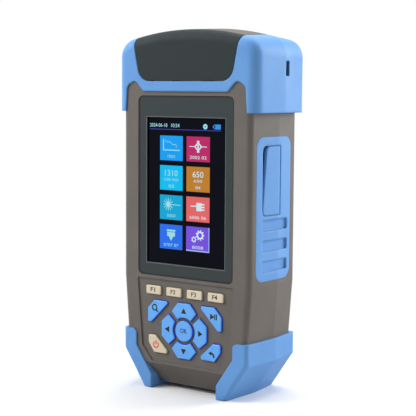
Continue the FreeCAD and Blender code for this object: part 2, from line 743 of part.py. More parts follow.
# Keys: each outline is drawn once, and again with a gap for its hole and for its flange
ok_z = dim("keypad_z")
UPPER_KEY = [
    (dim("upper_near"), dim("upper_near_low")), (dim("upper_low_x"), dim("upper_low")),
    (dim("upper_far"), dim("upper_low")), (dim("upper_far"), dim("upper_shoulder_z")),
    (dim("upper_shoulder_x"), dim("upper_high")), (dim("upper_near"), dim("upper_high")),
]
LOWER_KEY = [
    (dim("lower_near"), -dim("lower_deep")), (dim("lower_shoulder_x"), -dim("lower_deep")),
    (dim("lower_far"), -dim("lower_shoulder_z")), (dim("lower_far"), -dim("lower_top")),
    (dim("lower_top_x"), -dim("lower_top")), (dim("lower_near"), -dim("lower_near_z")),
]


def corner_key(corners, side):
    # side is 1 for the right and -1 for the left, whose corners run the other way round
    placed = [(as_size(x) * side, z + ok_z, dim("key_corner")) for x, z in corners]
    if side < 0:
        placed.reverse()

    def draw(sketch, more):
        draw_polygon(sketch, grow(placed, more))
    return draw


def function_key(step):
    middle = dim("function_pitch") * step
    wide = dim("function_wide") / 2
    high = dim("function_high") / 2
    corners = rectangle(middle - wide, middle + wide, dim("function_z") - high,
                        dim("function_z") + high, dim("key_corner"))

    def draw(sketch, more):
        draw_polygon(sketch, grow(corners, more))
    return draw


def ok_key(sketch, more):
    draw_circle(sketch, 0, ok_z, dim("ok_radius") + more)


def leg(long_side, short_side):
    value = math.sqrt(long_side.value ** 2 - short_side.value ** 2)
    return Size(value, f"sqrt({long_side.text}^2 - {short_side.text}^2)")


def meet_ring(start, end, more, ring):
    # where the edge from start to end, moved out by more, crosses a circle round the origin
    step = unit(vector(start[0].value, start[1].value), vector(end[0].value, end[1].value))
    away = start[0] * step.y - start[1] * step.x + more
    along = leg(ring, away)
    return away * step.y + along * step.x, along * step.y - away * step.x


def arrow_key(turns):
    # a petal round the OK key; turns counts quarter turns to the left from the upper one
    def draw(sketch, more):
        ring = dim("arrow_inner") - more
        root = (dim("arrow_root_half"), leg(dim("arrow_inner"), dim("arrow_root_half")))
        shoulder = (dim("arrow_shoulder_half"), dim("arrow_shoulder"))
        tip = (dim("arrow_tip_half"), dim("arrow_reach"))
        right_side = [root, shoulder, tip]
        outer = grow(right_side + mirrored(right_side), more)
        root_x, root_z = meet_ring(root, shoulder, more, ring)
        corners = [(root_x, root_z)] + outer[1:5] + [(-root_x, root_z)]
        placed = []
        for x, z in corners:
            for _ in range(turns):
                x, z = -z, x
            placed.append((x, z + ok_z))
        points = [vector(x.value, z.value) for x, z in placed]
        lines = [sketch.addGeometry(Part.LineSegment(points[i], points[i + 1])) for i in range(5)]
        centre = vector(0, ok_z.value)
        first = points[0] - centre
        last = points[5] - centre
        start = math.atan2(first.y, first.x)
        sweep = math.atan2(first.cross(last).z, first.dot(last))
        circle = Part.Circle(centre, FreeCAD.Vector(0, 0, 1), ring.value)
        arc = sketch.addGeometry(Part.ArcOfCircle(circle, start, start + sweep))
        for i in range(4):
            sketch.addConstraint(Sketcher.Constraint("Coincident", lines[i], 2, lines[i + 1], 1))
        sketch.addConstraint(Sketcher.Constraint("Coincident", arc, 1, lines[0], 1))
        sketch.addConstraint(Sketcher.Constraint("Coincident", arc, 2, lines[4], 2))
        for i, line in enumerate(lines):
            tie(sketch, "DistanceX", line, 1, placed[i][0])
            tie(sketch, "DistanceY", line, 1, placed[i][1])
        tie(sketch, "DistanceX", lines[4], 2, placed[5][0])
        tie(sketch, "DistanceY", lines[4], 2, placed[5][1])
        tie_radius(sketch, arc, ring)
    return draw


KEYS = {
    "key_f1": function_key(-1.5),
    "key_f2": function_key(-0.5),
    "key_f3": function_key(0.5),
    "key_f4": function_key(1.5),
    "key_zoom": corner_key(UPPER_KEY, -1),
    "key_play": corner_key(UPPER_KEY, 1),
    "key_power": corner_key(LOWER_KEY, -1),
    "key_back": corner_key(LOWER_KEY, 1),
    "key_up": arrow_key(0),
    "key_left": arrow_key(1),
    "key_down": arrow_key(2),
    "key_right": arrow_key(3),
    "key_ok": ok_key,
}


def make_key(name, draw):
    body = new_body(name)
    face = front_sketch(body, f"{name}_face", flange_back)
    draw(face, as_size(0))
    key_top = front_face - dim("key_proud")
    tip = pad(body, face, flange_back - key_top)
    bevel_edges(body, tip, on_plane_y(key_top), dim("key_break"))
    flange = front_sketch(body, f"{name}_flange", flange_back)
    draw(flange, dim("key_flange"))
    pad(body, flange, dim("key_flange_thick"))
    return body


# Front shell: one drafted moulding, hollow behind, open at the top for the fibre ports

CHIN = [
    (front_face - margin, 0), (front_face + dim("chin_depth"), 0),
    (front_face + dim("chin_depth"), dim("chin_low")), (front_face, dim("chin_top")),
    (front_face - margin, dim("chin_top")),
]


def screw_places():
    case_screw_x = half_width - dim("case_screw_in")
    for x in (-case_screw_x, case_screw_x):
        for z in (dim("case_screw_low"), crown - dim("case_screw_under")):
            yield x, z


def make_front_shell():
    body = new_body("front_shell")
    outline = front_sketch(body, "front_outline", seam)
    case_outline(outline)
    tip = pad(body, outline, dim("front_depth"), draft=dim("front_draft"))
    round_edges(body, tip, on_plane_y(front_face), dim("front_edge"))
    hollow = front_sketch(body, "front_hollow", seam)
    draw_polygon(hollow, HOLLOW)
    pocket(body, hollow, dim("front_depth") - dim("front_wall"), True, dim("front_draft"))
    for number, (x, z) in enumerate(screw_places()):
        boss = front_sketch(body, f"front_boss_{number}", seam)
        draw_circle(boss, x, z, dim("boss_radius"))
        pad(body, boss, dim("front_depth") - dim("front_wall") + overlap)
    holes = front_sketch(body, "front_boss_holes", seam)
    for x, z in screw_places():
        draw_circle(holes, x, z, dim("screw_radius") + dim("screw_grip"))
    depth = dim("case_screw_long") - (rear_face - dim("screw_sink") - dim("screw_head_high") - seam)
    pocket(body, holes, depth + margin, True)
    top = front_sketch(body, "port_opening", front_face - margin)
    draw_polygon(top, grow(COVER, dim("cover_gap")))
    pocket(body, top, dim("front_depth") + margin)
    seat = front_sketch(body, "bezel_seat", front_face)
    draw_polygon(seat, rectangle(-dim("bezel_wide") / 2 - gap, dim("bezel_wide") / 2 + gap,
                                 dim("bezel_low") - gap, bezel_high + gap,
                                 dim("bezel_corner") + gap))
    pocket(body, seat, dim("bezel_inset") + dim("bezel_thick"))
    window = front_sketch(body, "display_window", front_face)
    draw_polygon(window, rectangle(-dim("glass_wide") / 2 - gap, dim("glass_wide") / 2 + gap,
                                   display_z - dim("glass_high") / 2 - gap,
                                   display_z + dim("glass_high") / 2 + gap))
    pocket(body, window, dim("front_wall") + margin)
    recess = front_sketch(body, "keypad_recess", front_face)
    right_side = [
        (half_width - dim("plate_low_in"), dim("plate_low"), dim("plate_corner")),
        (half_width - dim("plate_side_in"), dim("plate_side"), dim("plate_corner")),
        (half_width - dim("plate_top_in"), dim("plate_top"), dim("plate_corner"))]
    draw_polygon(recess, right_side + mirrored(right_side))
    pocket(body, recess, dim("plate_deep"))
    for name, draw in KEYS.items():
        opening = front_sketch(body, f"{name}_hole", front_face)
        draw(opening, dim("key_gap"))
        pocket(body, opening, dim("front_wall") + margin)
    chin = side_sketch(body, "chin", -half_width)
    draw_polygon(chin, CHIN)
    pocket(body, chin, half_width * 2, True)
    for name, side in (("left", -1), ("right", 1)):
        seat = side_sketch(body, f"front_pad_seat_{name}", (half_width + margin) * side)
        draw_polygon(seat, PAD)
        pocket(body, seat, half_width + margin - pad_seat, side < 0)
    sockets = side_sketch(body, "socket_recess", half_width + margin)
    draw_polygon(sockets, rectangle(dim("recess_front"), seam + margin, recess_low,
                                    recess_high, dim("grip_corner")))
    pocket(body, sockets, dim("side_wall") + 2 * margin)
    return body


# Rear shell: the land behind the dust cover carries the hinge's middle knuckle

def pad_block(name, side):
    # all that lies outside the plane of a side pad's seat, within the pad's outline
    return prism(name, side_sketch, pad_seat * side, PAD, half_width, side < 0)


def make_rear_shell():
    form = new_body("rear_form")
    outline = front_sketch(form, "rear_outline", seam)
    case_outline(outline)
    tip = pad(form, outline, dim("rear_depth"), back=True, draft=dim("rear_draft"))
    round_edges(form, tip, on_plane_y(rear_face), dim("rear_edge"))
    land_block = prism("land_block", front_sketch, seam, grow(COVER, dim("cover_gap")),
                       dim("rear_depth") + 2 * margin, True)
    land = boolean("Common", "crown_land", boot_form, land_block)
    outside = fuse("rear_outside", [form, land])

    hollow = new_body("rear_hollow")
    room = front_sketch(hollow, "rear_room", seam)
    draw_polygon(room, HOLLOW)
    pad(hollow, room, dim("rear_depth") - dim("rear_wall"), back=True, draft=dim("rear_draft"))
    groove_half = cover_top_half + dim("cover_gap")
    groove_low = hinge_z - dim("hinge_sweep")
    over = crown + margin
    groove = prism("hinge_groove", side_sketch, -groove_half, [
        (seam - margin, groove_low), (hinge_y + dim("hinge_sweep"), groove_low),
        (hinge_y + dim("hinge_sweep"), hinge_z + dim("hinge_ramp_foot")),
        (hinge_y + dim("hinge_ramp"), crown),
        (hinge_y + dim("hinge_ramp"), over), (seam - margin, over)], groove_half * 2)
    bay_half = dim("battery_half") + dim("bay_gap")
    bay_low = dim("battery_low") - dim("bay_gap")
    bay_high = dim("battery_high") + dim("bay_gap")
    bay_front = door_inside - gap - dim("battery_thick")
    door_half = bay_half + dim("door_lap")
    door_low = bay_low - dim("door_lap")
    door_high = bay_high + dim("bay_head")
    door_seat = prism("door_seat", front_sketch, rear_face + margin,
                      rectangle(-door_half, door_half, door_low, door_high, dim("door_corner")),
                      dim("door_thick") + margin)
    seats = [hollow, groove, door_seat]
    for name, side in (("left", -1), ("right", 1)):
        seats.append(pad_block(f"rear_pad_seat_{name}", side))
    seats.append(box("rear_slot", (half_width - dim("slot_deep"), dim("slot_front"), slot_low),
                     (half_width + margin, dim("slot_front") + dim("slot_wide"), slot_high)))
    shell = boolean("Cut", "rear_moulding", outside, fuse("rear_seats", seats))

    ribs = [prism("bay_ring", front_sketch, rear_inside + overlap,
                  rectangle(-bay_half - dim("bay_wall"), bay_half + dim("bay_wall"),
                            bay_low - dim("bay_wall"), door_high),
                  rear_inside + overlap - bay_front)]
    for number, (x, z) in enumerate(screw_places()):
        ribs.append(rod(f"rear_boss_{number}", "Y", (x, seam, z), dim("boss_radius"),
                        rear_inside + overlap - seam))
    ribs.append(rod("hinge_middle", "X", (-dim("knuckle_inner"), hinge_y, hinge_z),
                    dim("hinge_barrel"), dim("knuckle_inner") * 2))
    ribs.append(box("hinge_arm", (-dim("knuckle_inner"), hinge_y, hinge_z - dim("hinge_barrel")),
                    (dim("knuckle_inner"), hinge_y + dim("hinge_sweep") + overlap, hinge_z)))
    built = fuse("rear_built", [shell] + ribs)

    holes = [prism("battery_bay", front_sketch, rear_face + margin,
                   rectangle(-bay_half, bay_half, bay_low, bay_high), rear_face + margin - bay_front
                   + margin)]
    for number, (x, z) in enumerate(screw_places()):
        head_low = rear_face - dim("screw_sink") - dim("screw_head_high")
        holes.append(rod(f"rear_screw_way_{number}", "Y", (x, seam - margin, z),
                         dim("screw_radius") + dim("screw_play"), dim("rear_depth") + 2 * margin))
        holes.append(rod(f"rear_screw_sink_{number}", "Y", (x, head_low, z),
                         dim("screw_head") + dim("screw_play"), dim("rear_depth")))
    for side in (-1, 1):
        holes.append(rod(f"door_boss_hole_{side + 1}", "Y",
                         (dim("door_screw_x") * side, door_inside - dim("door_screw_long") - margin,
                          door_screw_z),
                         dim("screw_radius") + dim("screw_grip"), dim("door_screw_long") + 2 * margin))
    holes.append(rod("hinge_middle_bore", "X", (-dim("knuckle_outer"), hinge_y, hinge_z),
                     dim("hinge_pin_radius") + dim("hinge_grip"), dim("knuckle_outer") * 2))
    holes.append(rod("strap_bar_bore", "Y",
                     (half_width - dim("slot_deep") / 2, seam - margin,
                      (slot_low + slot_high) / 2),
                     dim("strap_bar_radius") + dim("hinge_grip"),
                     dim("slot_wide") + 3 * margin))
    return boolean("Cut", "rear_shell", built, fuse("rear_holes", holes))


# The boot: the outer form less the shells, the dust cover's opening and the display's field

def make_boot():
    opening = prism("boot_opening", front_sketch, boot_rear_face + margin,
                    grow(COVER, dim("cover_gap")), boot_rear_face - boot_front_face + 2 * margin)
    foot = boot_low - spare - margin
    right_side = [
        (half_width - dim("band_foot_in"), foot),
        (half_width - dim("band_turn_in"), crown - dim("band_turn_under"), dim("band_turn_round")),
        (half_width - dim("band_peak_in"), crown - dim("band_peak_under"), dim("band_peak_round")),
        (half_width - dim("band_in"), crown - dim("band_under"), dim("band_round"))]
    field = prism("boot_field", front_sketch, front_inside, right_side + mirrored(right_side),
                  dim("front_wall") + 2 * margin)
    wide = half_width + dim("boot_side") + margin
    below = box("boot_below", (-wide, boot_front_face - margin, foot),
                (wide, boot_rear_face + margin, boot_low))
    slot = box("boot_slot", (half_width - dim("slot_deep"), dim("slot_front"), slot_low),
               (wide, dim("slot_front") + dim("slot_wide"), slot_high))
    return boolean("Cut", "top_boot", boot_form,
                   fuse("boot_cuts", [case_form, opening, field, below, slot]))


# Dust cover: crown and skirt in one, with two knuckles beside the shell's middle one

def make_dust_cover():
    rear_edge = hinge_y + dim("cover_back")
    block = prism("cover_block", front_sketch, rear_edge, COVER, rear_edge - boot_front_face + margin)
    skin = boolean("Common", "cover_skin", boot_form, block)
    cavity = new_body("cover_cavity")
    room = front_sketch(cavity, "cover_room", rear_edge + margin)
    half = cover_low_half - dim("cover_wall")
    low = cover_low - margin
    draw_crowned(room, half, crown - dim("cover_wall") - dim("cover_back") / 2,
                 dim("crown_radius") - dim("cover_wall"), dim("cover_corner") / 2,
                 [(-half, low), (half, low)])
    room_front = boot_front_face + dim("cover_wall")
    tip = pad(cavity, room, rear_edge + margin - room_front)
    round_edges(cavity, tip, on_plane_y_above(room_front, cover_low), dim("cover_inner_edge"))
    notch_half = dim("knuckle_inner") + dim("knuckle_gap")
    reach = dim("hinge_barrel") + dim("cover_gap")
    notch = box("cover_notch", (-notch_half, hinge_y - reach, hinge_z - dim("hinge_sweep")),
                (notch_half, rear_edge + margin, crown + margin))
    shell = boolean("Cut", "cover_moulding", skin, fuse("cover_cuts", [cavity, notch]))
    knuckles = []
    for name, start in (("left", -dim("knuckle_outer")), ("right", notch_half)):
        knuckles.append(rod(f"cover_knuckle_{name}", "X", (start, hinge_y, hinge_z),
                            dim("hinge_barrel"), dim("knuckle_outer") - notch_half))
    built = fuse("cover_built", [shell] + knuckles)
    bore = rod("cover_bore", "X", (-dim("knuckle_outer") - margin, hinge_y, hinge_z),
               dim("hinge_pin_radius") + dim("hinge_play"), dim("knuckle_outer") * 2 + 2 * margin)
    return boolean("Cut", "dust_cover", built, bore)


# Corner guards: a drafted form of each lower corner, less the shells with their chin cut back

def make_guard(name, side, shells):
    outer = waist_half + dim("guard_side")
    head = dim("guard_top") + spare
    sole = -dim("guard_sole")
    guard_inner = waist_half - dim("guard_inner_in")
    guard_foot = waist_half - dim("guard_foot_in")
    inner = waist_half - dim("guard_front_in")
    wide = outer + margin
    corners = [
        (guard_foot, sole), (waist_half - dim("guard_sole_in"), sole), (outer, dim("guard_corner")),
        (outer, head), (guard_inner, head), (guard_inner, dim("guard_inner_low")),
        (guard_foot, dim("guard_foot_z"))]
    away = [
        (inner - spare, dim("guard_inner_low")), (inner, dim("guard_inner_low")),
        (inner, dim("guard_top"), dim("guard_turn")), (wide, dim("guard_top")),
        (wide, head + margin), (inner - spare, head + margin)]
    if side < 0:
        corners = mirrored(corners)
        away = mirrored(away)

    def outline(sketch):
        draw_polygon(sketch, corners)

    def outside(y):
        on_face = on_plane_y(y)
        inside = (guard_inner + margin).value
        top = dim("guard_top").value
        shortest = dim("guard_edge").value * 2

        def wanted(edge):
            middle = edge.CenterOfMass
            outer_side = abs(middle.x) > inside and middle.z < top
            return on_face(edge) and outer_side and edge.Length > shortest
        return wanted

    form = drafted_form(f"{name}_form", outline, front_face - dim("guard_front"),
                        rear_face + dim("guard_rear"), outside, dim("guard_edge"), dim("guard_edge"))
    deep = rear_face + dim("guard_rear") + margin
    near = front_face - dim("guard_front") - margin
    above = prism(f"{name}_above", front_sketch, deep, away, deep - near)
    under = box(f"{name}_under", (-wide, near, sole - margin), (wide, deep, 0))
    return boolean("Cut", name, form, fuse(f"{name}_cuts", [shells, above, under]))


# Side pads: the drafted side of the shells, inlaid, with three grip pockets

def make_side_pad(name, side):
    skin = boolean("Common", f"{name}_skin", case_form, pad_block(f"{name}_block", side))
    cuts = []
    for number in range(3):
        low = dim("pad_low") + dim("grip_rise") + dim("grip_pitch") * number
        corners = rectangle(dim("grip_front"), dim("grip_rear"), low, low + dim("grip_high"),
                            dim("grip_corner"))
        cuts.append(prism(f"{name}_grip_{number}", side_sketch, (half_width - dim("grip_sunk")) * side, corners,
                          half_width, side < 0))
    if side > 0:
        window_rear = flap_line_y + dim("flap_barrel") + dim("flap_rear_gap")
        corners = rectangle(dim("window_front"), window_rear, window_low, window_high,
                            dim("window_corner"))
        corners[1] = corners[1][:2]
        corners[2] = corners[2][:2]
        cuts.append(prism("flap_window", side_sketch, pad_seat - margin, corners, half_width))
        cuts.append(rod("flap_pin_bore", "Z",
                        (flap_line_x, flap_line_y, window_low - dim("flap_pin_end")),
                        dim("flap_pin_radius") + dim("hinge_grip"),
                        window_high - window_low + dim("flap_pin_end") * 2))
    return boolean("Cut", name, skin, fuse(f"{name}_cuts", cuts))


def make_port_flap():
    low = window_low + gap
    high = window_high - gap
    front = dim("window_front") + gap
    rear = flap_line_y + dim("flap_tail")
    corner = dim("window_corner") - gap
    plate = prism("flap_plate", side_sketch, half_width - dim("flap_sunk"), [
        (front, low, corner), (rear, low), (rear, high), (front + dim("flap_lean"), high, corner)],
        half_width)
    skin = boolean("Common", "flap_skin", case_form, plate)
    barrel = rod("flap_knuckle", "Z", (flap_line_x, flap_line_y, low),
                 dim("flap_barrel"), high - low)
    built = fuse("flap_built", [skin, barrel])
    bore = rod("flap_bore", "Z", (flap_line_x, flap_line_y, low - margin),
               dim("flap_pin_radius") + dim("hinge_play"), high - low + 2 * margin)
    return boolean("Cut", "port_flap", built, bore)


# Display: a bezel with an open window, the glass behind it and the module behind that

def make_display():
    half = dim("bezel_wide") / 2
    bezel = new_body("display_bezel")
    outline = front_sketch(bezel, "bezel_outline", bezel_back)
    draw_polygon(outline, rectangle(-half, half, dim("bezel_low"), bezel_high,
                                    dim("bezel_corner")))
    pad(bezel, outline, dim("bezel_thick"))
    view = front_sketch(bezel, "bezel_view", bezel_front)
    draw_polygon(view, rectangle(-dim("view_wide") / 2, dim("view_wide") / 2, display_low,
                                 display_high))
    tip = pocket(bezel, view, dim("bezel_thick") + margin)
    on_front = on_plane_y(bezel_front)
    view_edge = (dim("view_wide") / 2 + overlap).value

    def round_window(edge):
        box = edge.BoundBox
        inside = box.ZMin > dim("bezel_low").value + overlap and box.ZMax < bezel_high.value - overlap
        return on_front(edge) and inside and max(-box.XMin, box.XMax) < view_edge
    bevel_edges(bezel, tip, round_window, dim("bezel_break"))
    glass_half = dim("glass_wide") / 2
    glass_low = display_z - dim("glass_high") / 2
    glass_high = display_z + dim("glass_high") / 2
    glass = box("display_glass", (-glass_half, bezel_back, glass_low),
                (glass_half, glass_back, glass_high))
    module = box("display_module", (gap - glass_half, glass_back, glass_low + gap),
                 (glass_half - gap, board_front, glass_high - gap))
    return [bezel, glass, module]


# Port tray and the three fibre ports on its floor

def port_places():
    return [dim("port_pitch") * step for step in (-1, 0, 1)]


def make_tray():
    half = half_width - dim("tray_in")
    sheet_thick = dim("tray_sheet")
    back = seam + dim("tray_back")
    tray_top = crown - dim("tray_top_under")
    outer = box("tray_block", (-half - sheet_thick, front_inside + gap, tray_under),
                (half + sheet_thick, back + sheet_thick, tray_top))
    room = box("tray_room", (-half, front_inside - margin, tray_floor),
               (half, back, tray_top + margin))
    holes = [room]
    for number, x in enumerate(port_places()):
        holes.append(rod(f"tray_hole_{number}", "Z", (x, dim("port_y"), tray_under - margin),
                         dim("port_tail") + gap, dim("tray_sheet") + 2 * margin))
    return boolean("Cut", "port_tray", outer, fuse("tray_cuts", holes))


def make_port(name, x, barrel, keyed):
    y = dim("port_y")
    floor = tray_floor
    half = dim("port_flange") / 2
    tail_low = tray_under - dim("port_tail_long")
    flange_top = floor + dim("port_flange_high")
    flange = prism(f"{name}_flange", plan_sketch, floor,
                   rectangle(x - half, x + half, y - half, y + half, dim("port_flange_corner")),
                   dim("port_flange_high"))
    tail = rod(f"{name}_tail", "Z", (x, y, tail_low), dim("port_tail"), floor - tail_low + overlap)
    body = rod(f"{name}_barrel", "Z", (x, y, flange_top - overlap), barrel,
               dim("port_high") + overlap)
    built = fuse(f"{name}_built", [flange, tail, body])
    way = rod(f"{name}_way", "Z", (x, y, tail_low - margin), dim("sleeve_radius"),
              flange_top + dim("port_high") + 2 * margin - tail_low)
    cuts = [way]
    if keyed:
        slot = dim("port_key") / 2
        cuts.append(box(f"{name}_slot", (x - slot, y, flange_top + dim("port_high") / 2),
                        (x + slot, y + barrel + margin, flange_top + dim("port_high") + margin)))
    return boolean("Cut", name, built, fuse(f"{name}_cuts", cuts))


def make_sleeves():
    # a plain ferrule sleeve in each port
    sleeves = []
    low = tray_under - dim("port_tail_long")
    tall = tray_floor + dim("port_flange_high") + dim("port_high") - low
    for number, x in enumerate(port_places()):
        outer = rod(f"sleeve_outer_{number}", "Z", (x, dim("port_y"), low), dim("sleeve_radius"), tall)
        inner = rod(f"sleeve_bore_{number}", "Z", (x, dim("port_y"), low - margin),
                    dim("ferrule_radius"), tall + 2 * margin)
        sleeves.append(boolean("Cut", f"sleeve_{number}", outer, inner))
    return fuse("ferrule_sleeves", sleeves)


# Inner pieces

def make_inner():
    half = dim("board_half")
    mat = box("key_mat", (-half, mat_front, dim("mat_low")), (half, board_front, dim("mat_high")))
    board = box("main_board", (-half, board_front, dim("mat_low")),
                (half, board_back, crown - dim("board_under")))
    optics_top = tray_under - dim("port_tail_long")
    optics_front = dim("port_y") - dim("optics_ahead")
    optics = box("optical_module",
                 (-dim("optics_half"), optics_front, optics_top - dim("optics_high")),
                 (dim("optics_half"), optics_front + dim("optics_deep"), optics_top))
    battery_rear = door_inside - gap
    battery = box("battery_pack",
                  (-dim("battery_half"), battery_rear - dim("battery_thick"), dim("battery_low")),
                  (dim("battery_half"), battery_rear, dim("battery_high")))
    return [mat, board, optics, battery]


def make_sockets():
    face = half_width - dim("socket_in")
    middle = dim("socket_y")
    mouth_half = dim("jack_mouth_high") / 2
    jack_front = middle - mouth_half - dim("jack_lip")
    jack_z = window_low + dim("jack_rise")
    charge_z = window_low + dim("charge_rise")
    wide = dim("jack_wide") / 2
    mouth_wide = dim("jack_mouth_wide") / 2
    jack_block = box("jack_block", (face - dim("jack_long"), jack_front, jack_z - wide),
                     (face, middle + mouth_half + dim("jack_lip"), jack_z + wide))
    mouth = box("jack_mouth", (face - dim("jack_mouth_deep"), middle - mouth_half,
                               jack_z - mouth_wide),
                (face + margin, middle + mouth_half, jack_z + mouth_wide))
    jack = boolean("Cut", "network_jack", jack_block, mouth)
    side = dim("charge_wide") / 2
    wall = dim("charge_wall")
    rear = jack_front + dim("charge_high")
    # a hair less than half the height, so that the short straight sides do not vanish
    round_side = dim("charge_high") / 2 - hair
    shell = prism("charge_shell", side_sketch, face - dim("charge_long"),
                  rectangle(jack_front, rear, charge_z - side, charge_z + side,
                            round_side), dim("charge_long"))
    room = prism("charge_room", side_sketch, face - dim("charge_long") + wall,
                 rectangle(jack_front + wall, rear - wall, charge_z - side + wall,
                           charge_z + side - wall, round_side - wall), dim("charge_long"))
    tongue_side = dim("tongue_wide") / 2
    tongue = box("charge_tongue", (face - dim("charge_long") + wall / 2,
                                   (jack_front + rear) / 2 - wall, charge_z - tongue_side),
                 (face - dim("tongue_back"), (jack_front + rear) / 2 + wall, charge_z + tongue_side))
    socket = fuse("charging_socket", [boolean("Cut", "charge_tube", shell, room), tongue])
    board = box("side_board", (face - dim("jack_long") - dim("side_board_over"),
                               jack_front - dim("board_thick"), recess_low),
                (hollow_half - dim("side_board_gap"), jack_front, recess_high))
    return [jack, socket, board]


def make_door():
    half = dim("battery_half") + dim("bay_gap") + dim("door_lap") - gap
    low = dim("battery_low") - dim("bay_gap") - dim("door_lap") + gap
    high = dim("battery_high") + dim("bay_gap") + dim("bay_head") - gap
    body = new_body("battery_door")
    outline = front_sketch(body, "door_outline", rear_face)
    draw_polygon(outline, rectangle(-half, half, low, high, dim("door_corner") - gap))
    pad(body, outline, dim("door_thick"))
    ways = front_sketch(body, "door_ways", rear_face)
    for side in (-1, 1):
        draw_circle(ways, dim("door_screw_x") * side, door_screw_z,
                    dim("screw_radius") + dim("screw_play"))
    pocket(body, ways, dim("door_thick") + margin, True)
    sinks = front_sketch(body, "door_sinks", rear_face)
    for side in (-1, 1):
        draw_circle(sinks, dim("door_screw_x") * side, door_screw_z,
                    dim("screw_head") + dim("screw_play"))
    pocket(body, sinks, dim("door_screw_head"), True)
    return body


def make_screw(name, x, z, head_low, head_high, length):
    head = rod(f"{name}_head", "Y", (x, head_low, z), dim("screw_head"), head_high)
    shank = rod(f"{name}_shank", "Y", (x, head_low - length, z), dim("screw_radius"),
                length + overlap)
    corners = [(x + dim("screw_drive") * math.cos(math.radians(60 * turn)),
                z + dim("screw_drive") * math.sin(math.radians(60 * turn))) for turn in range(6)]
    drive = prism(f"{name}_drive", front_sketch, head_low + head_high / 2, corners, head_high, True)
    return boolean("Cut", name, fuse(f"{name}_blank", [head, shank]), drive)


def make_screws():
    head_low = rear_face - dim("screw_sink") - dim("screw_head_high")
    case_screws = [make_screw(f"case_screw_{i}", x, z, head_low, dim("screw_head_high"),
                              dim("case_screw_long")) for i, (x, z) in enumerate(screw_places())]
    door_head = dim("door_screw_head")
    door_screws = [make_screw(f"door_screw_{name}", dim("door_screw_x") * side, door_screw_z,
                              rear_face - door_head, door_head, dim("door_screw_long"))
                   for name, side in (("left", -1), ("right", 1))]
    return [fuse("case_screws", case_screws), fuse("door_screws", door_screws)]


def make_pins():
    cover_pin = rod("dust_cover_pin", "X", (-dim("knuckle_outer"), hinge_y, hinge_z),
                    dim("hinge_pin_radius"), dim("knuckle_outer") * 2)
    flap_pin = rod("port_flap_pin", "Z",
                   (flap_line_x, flap_line_y, window_low - dim("flap_pin_end")),
                   dim("flap_pin_radius"),
                   window_high - window_low + dim("flap_pin_end") * 2)
    bar = rod("strap_bar", "Y", (half_width - dim("slot_deep") / 2, seam,
                                 (slot_low + slot_high) / 2),
              dim("strap_bar_radius"), dim("slot_wide") + 1.5 * margin)
    return [cover_pin, flap_pin, bar]


pieces = [make_front_shell(), make_rear_shell(), make_boot(), make_dust_cover()]
chin_block = prism("chin_block", side_sketch, -half_width, CHIN, half_width * 2)
shells = boolean("Cut", "guarded_shells", case_form, chin_block)
pieces += [make_guard("guard_left", -1, shells), make_guard("guard_right", 1, shells)]
pieces += [make_side_pad("side_pad_left", -1), make_side_pad("side_pad_right", 1)]
pieces += [make_port_flap()]
pieces += make_display()
pieces += [make_key(name, draw) for name, draw in KEYS.items()]
pieces += [make_tray()]
left, middle, right = port_places()
pieces += [make_port("fault_locator_port", left, dim("locator_barrel"), False),
           make_port("measuring_port", middle, dim("port_barrel"), True),
           make_port("power_meter_port", right, dim("meter_barrel"), False), make_sleeves()]
pieces += make_inner()
pieces += make_sockets()
pieces += [make_door()] + make_screws() + make_pins()

doc.recompute()
failed = [item.Label for item in doc.Objects if "Invalid" in item.State or "Error" in item.State]
if failed:
    raise RuntimeError(f"features that failed: {', '.join(failed)}")
for piece in pieces:
    if piece.Shape.isNull() or not piece.Shape.isValid() or not piece.Shape.Solids:
        raise RuntimeError(f"{piece.Label} has no valid solid")

os.makedirs("parts", exist_ok=True)
for piece in pieces:
    piece.Shape.exportStep(f"parts/{piece.Label}.step")
    extent = piece.Shape.BoundBox
    print(piece.Label, len(piece.Shape.Solids), round(piece.Shape.Volume, 1),
          [round(v, 2) for v in (extent.XMin, extent.XMax, extent.YMin, extent.YMax,
                                 extent.ZMin, extent.ZMax)])
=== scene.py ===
import json
import math
import bmesh
import bpy
from mathutils import Matrix, Vector


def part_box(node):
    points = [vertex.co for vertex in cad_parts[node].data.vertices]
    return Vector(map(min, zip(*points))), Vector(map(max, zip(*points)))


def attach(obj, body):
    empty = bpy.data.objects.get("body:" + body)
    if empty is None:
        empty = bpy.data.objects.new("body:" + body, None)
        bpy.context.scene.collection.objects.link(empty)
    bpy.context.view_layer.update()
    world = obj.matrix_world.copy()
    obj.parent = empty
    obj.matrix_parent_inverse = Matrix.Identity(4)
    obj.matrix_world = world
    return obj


# The handheld reflectometer: finishes for the shells and fittings, the lit picture on its display,
# the printed key legends, the contacts in its network jack, and a plain studio round it.

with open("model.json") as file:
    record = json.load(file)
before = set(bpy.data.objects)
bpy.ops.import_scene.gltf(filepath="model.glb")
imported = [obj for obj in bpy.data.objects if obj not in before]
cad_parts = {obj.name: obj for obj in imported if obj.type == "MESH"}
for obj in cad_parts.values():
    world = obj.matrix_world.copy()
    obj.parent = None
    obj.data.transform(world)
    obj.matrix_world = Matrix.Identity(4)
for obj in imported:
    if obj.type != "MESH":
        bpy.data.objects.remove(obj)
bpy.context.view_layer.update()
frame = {"nodes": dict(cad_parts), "record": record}
nodes = frame["nodes"]
mm = 0.001
print("frame loaded:", len(nodes), "nodes")


# Colour and node helpers

def paint(hexText):
    # an sRGB hex value as the linear colour that the shaders take
    channels = [int(hexText[i:i + 2], 16) / 255 for i in (1, 3, 5)]
    linear = [c / 12.92 if c <= 0.04045 else ((c + 0.055) / 1.055) ** 2.4 for c in channels]
    return (*linear, 1.0)


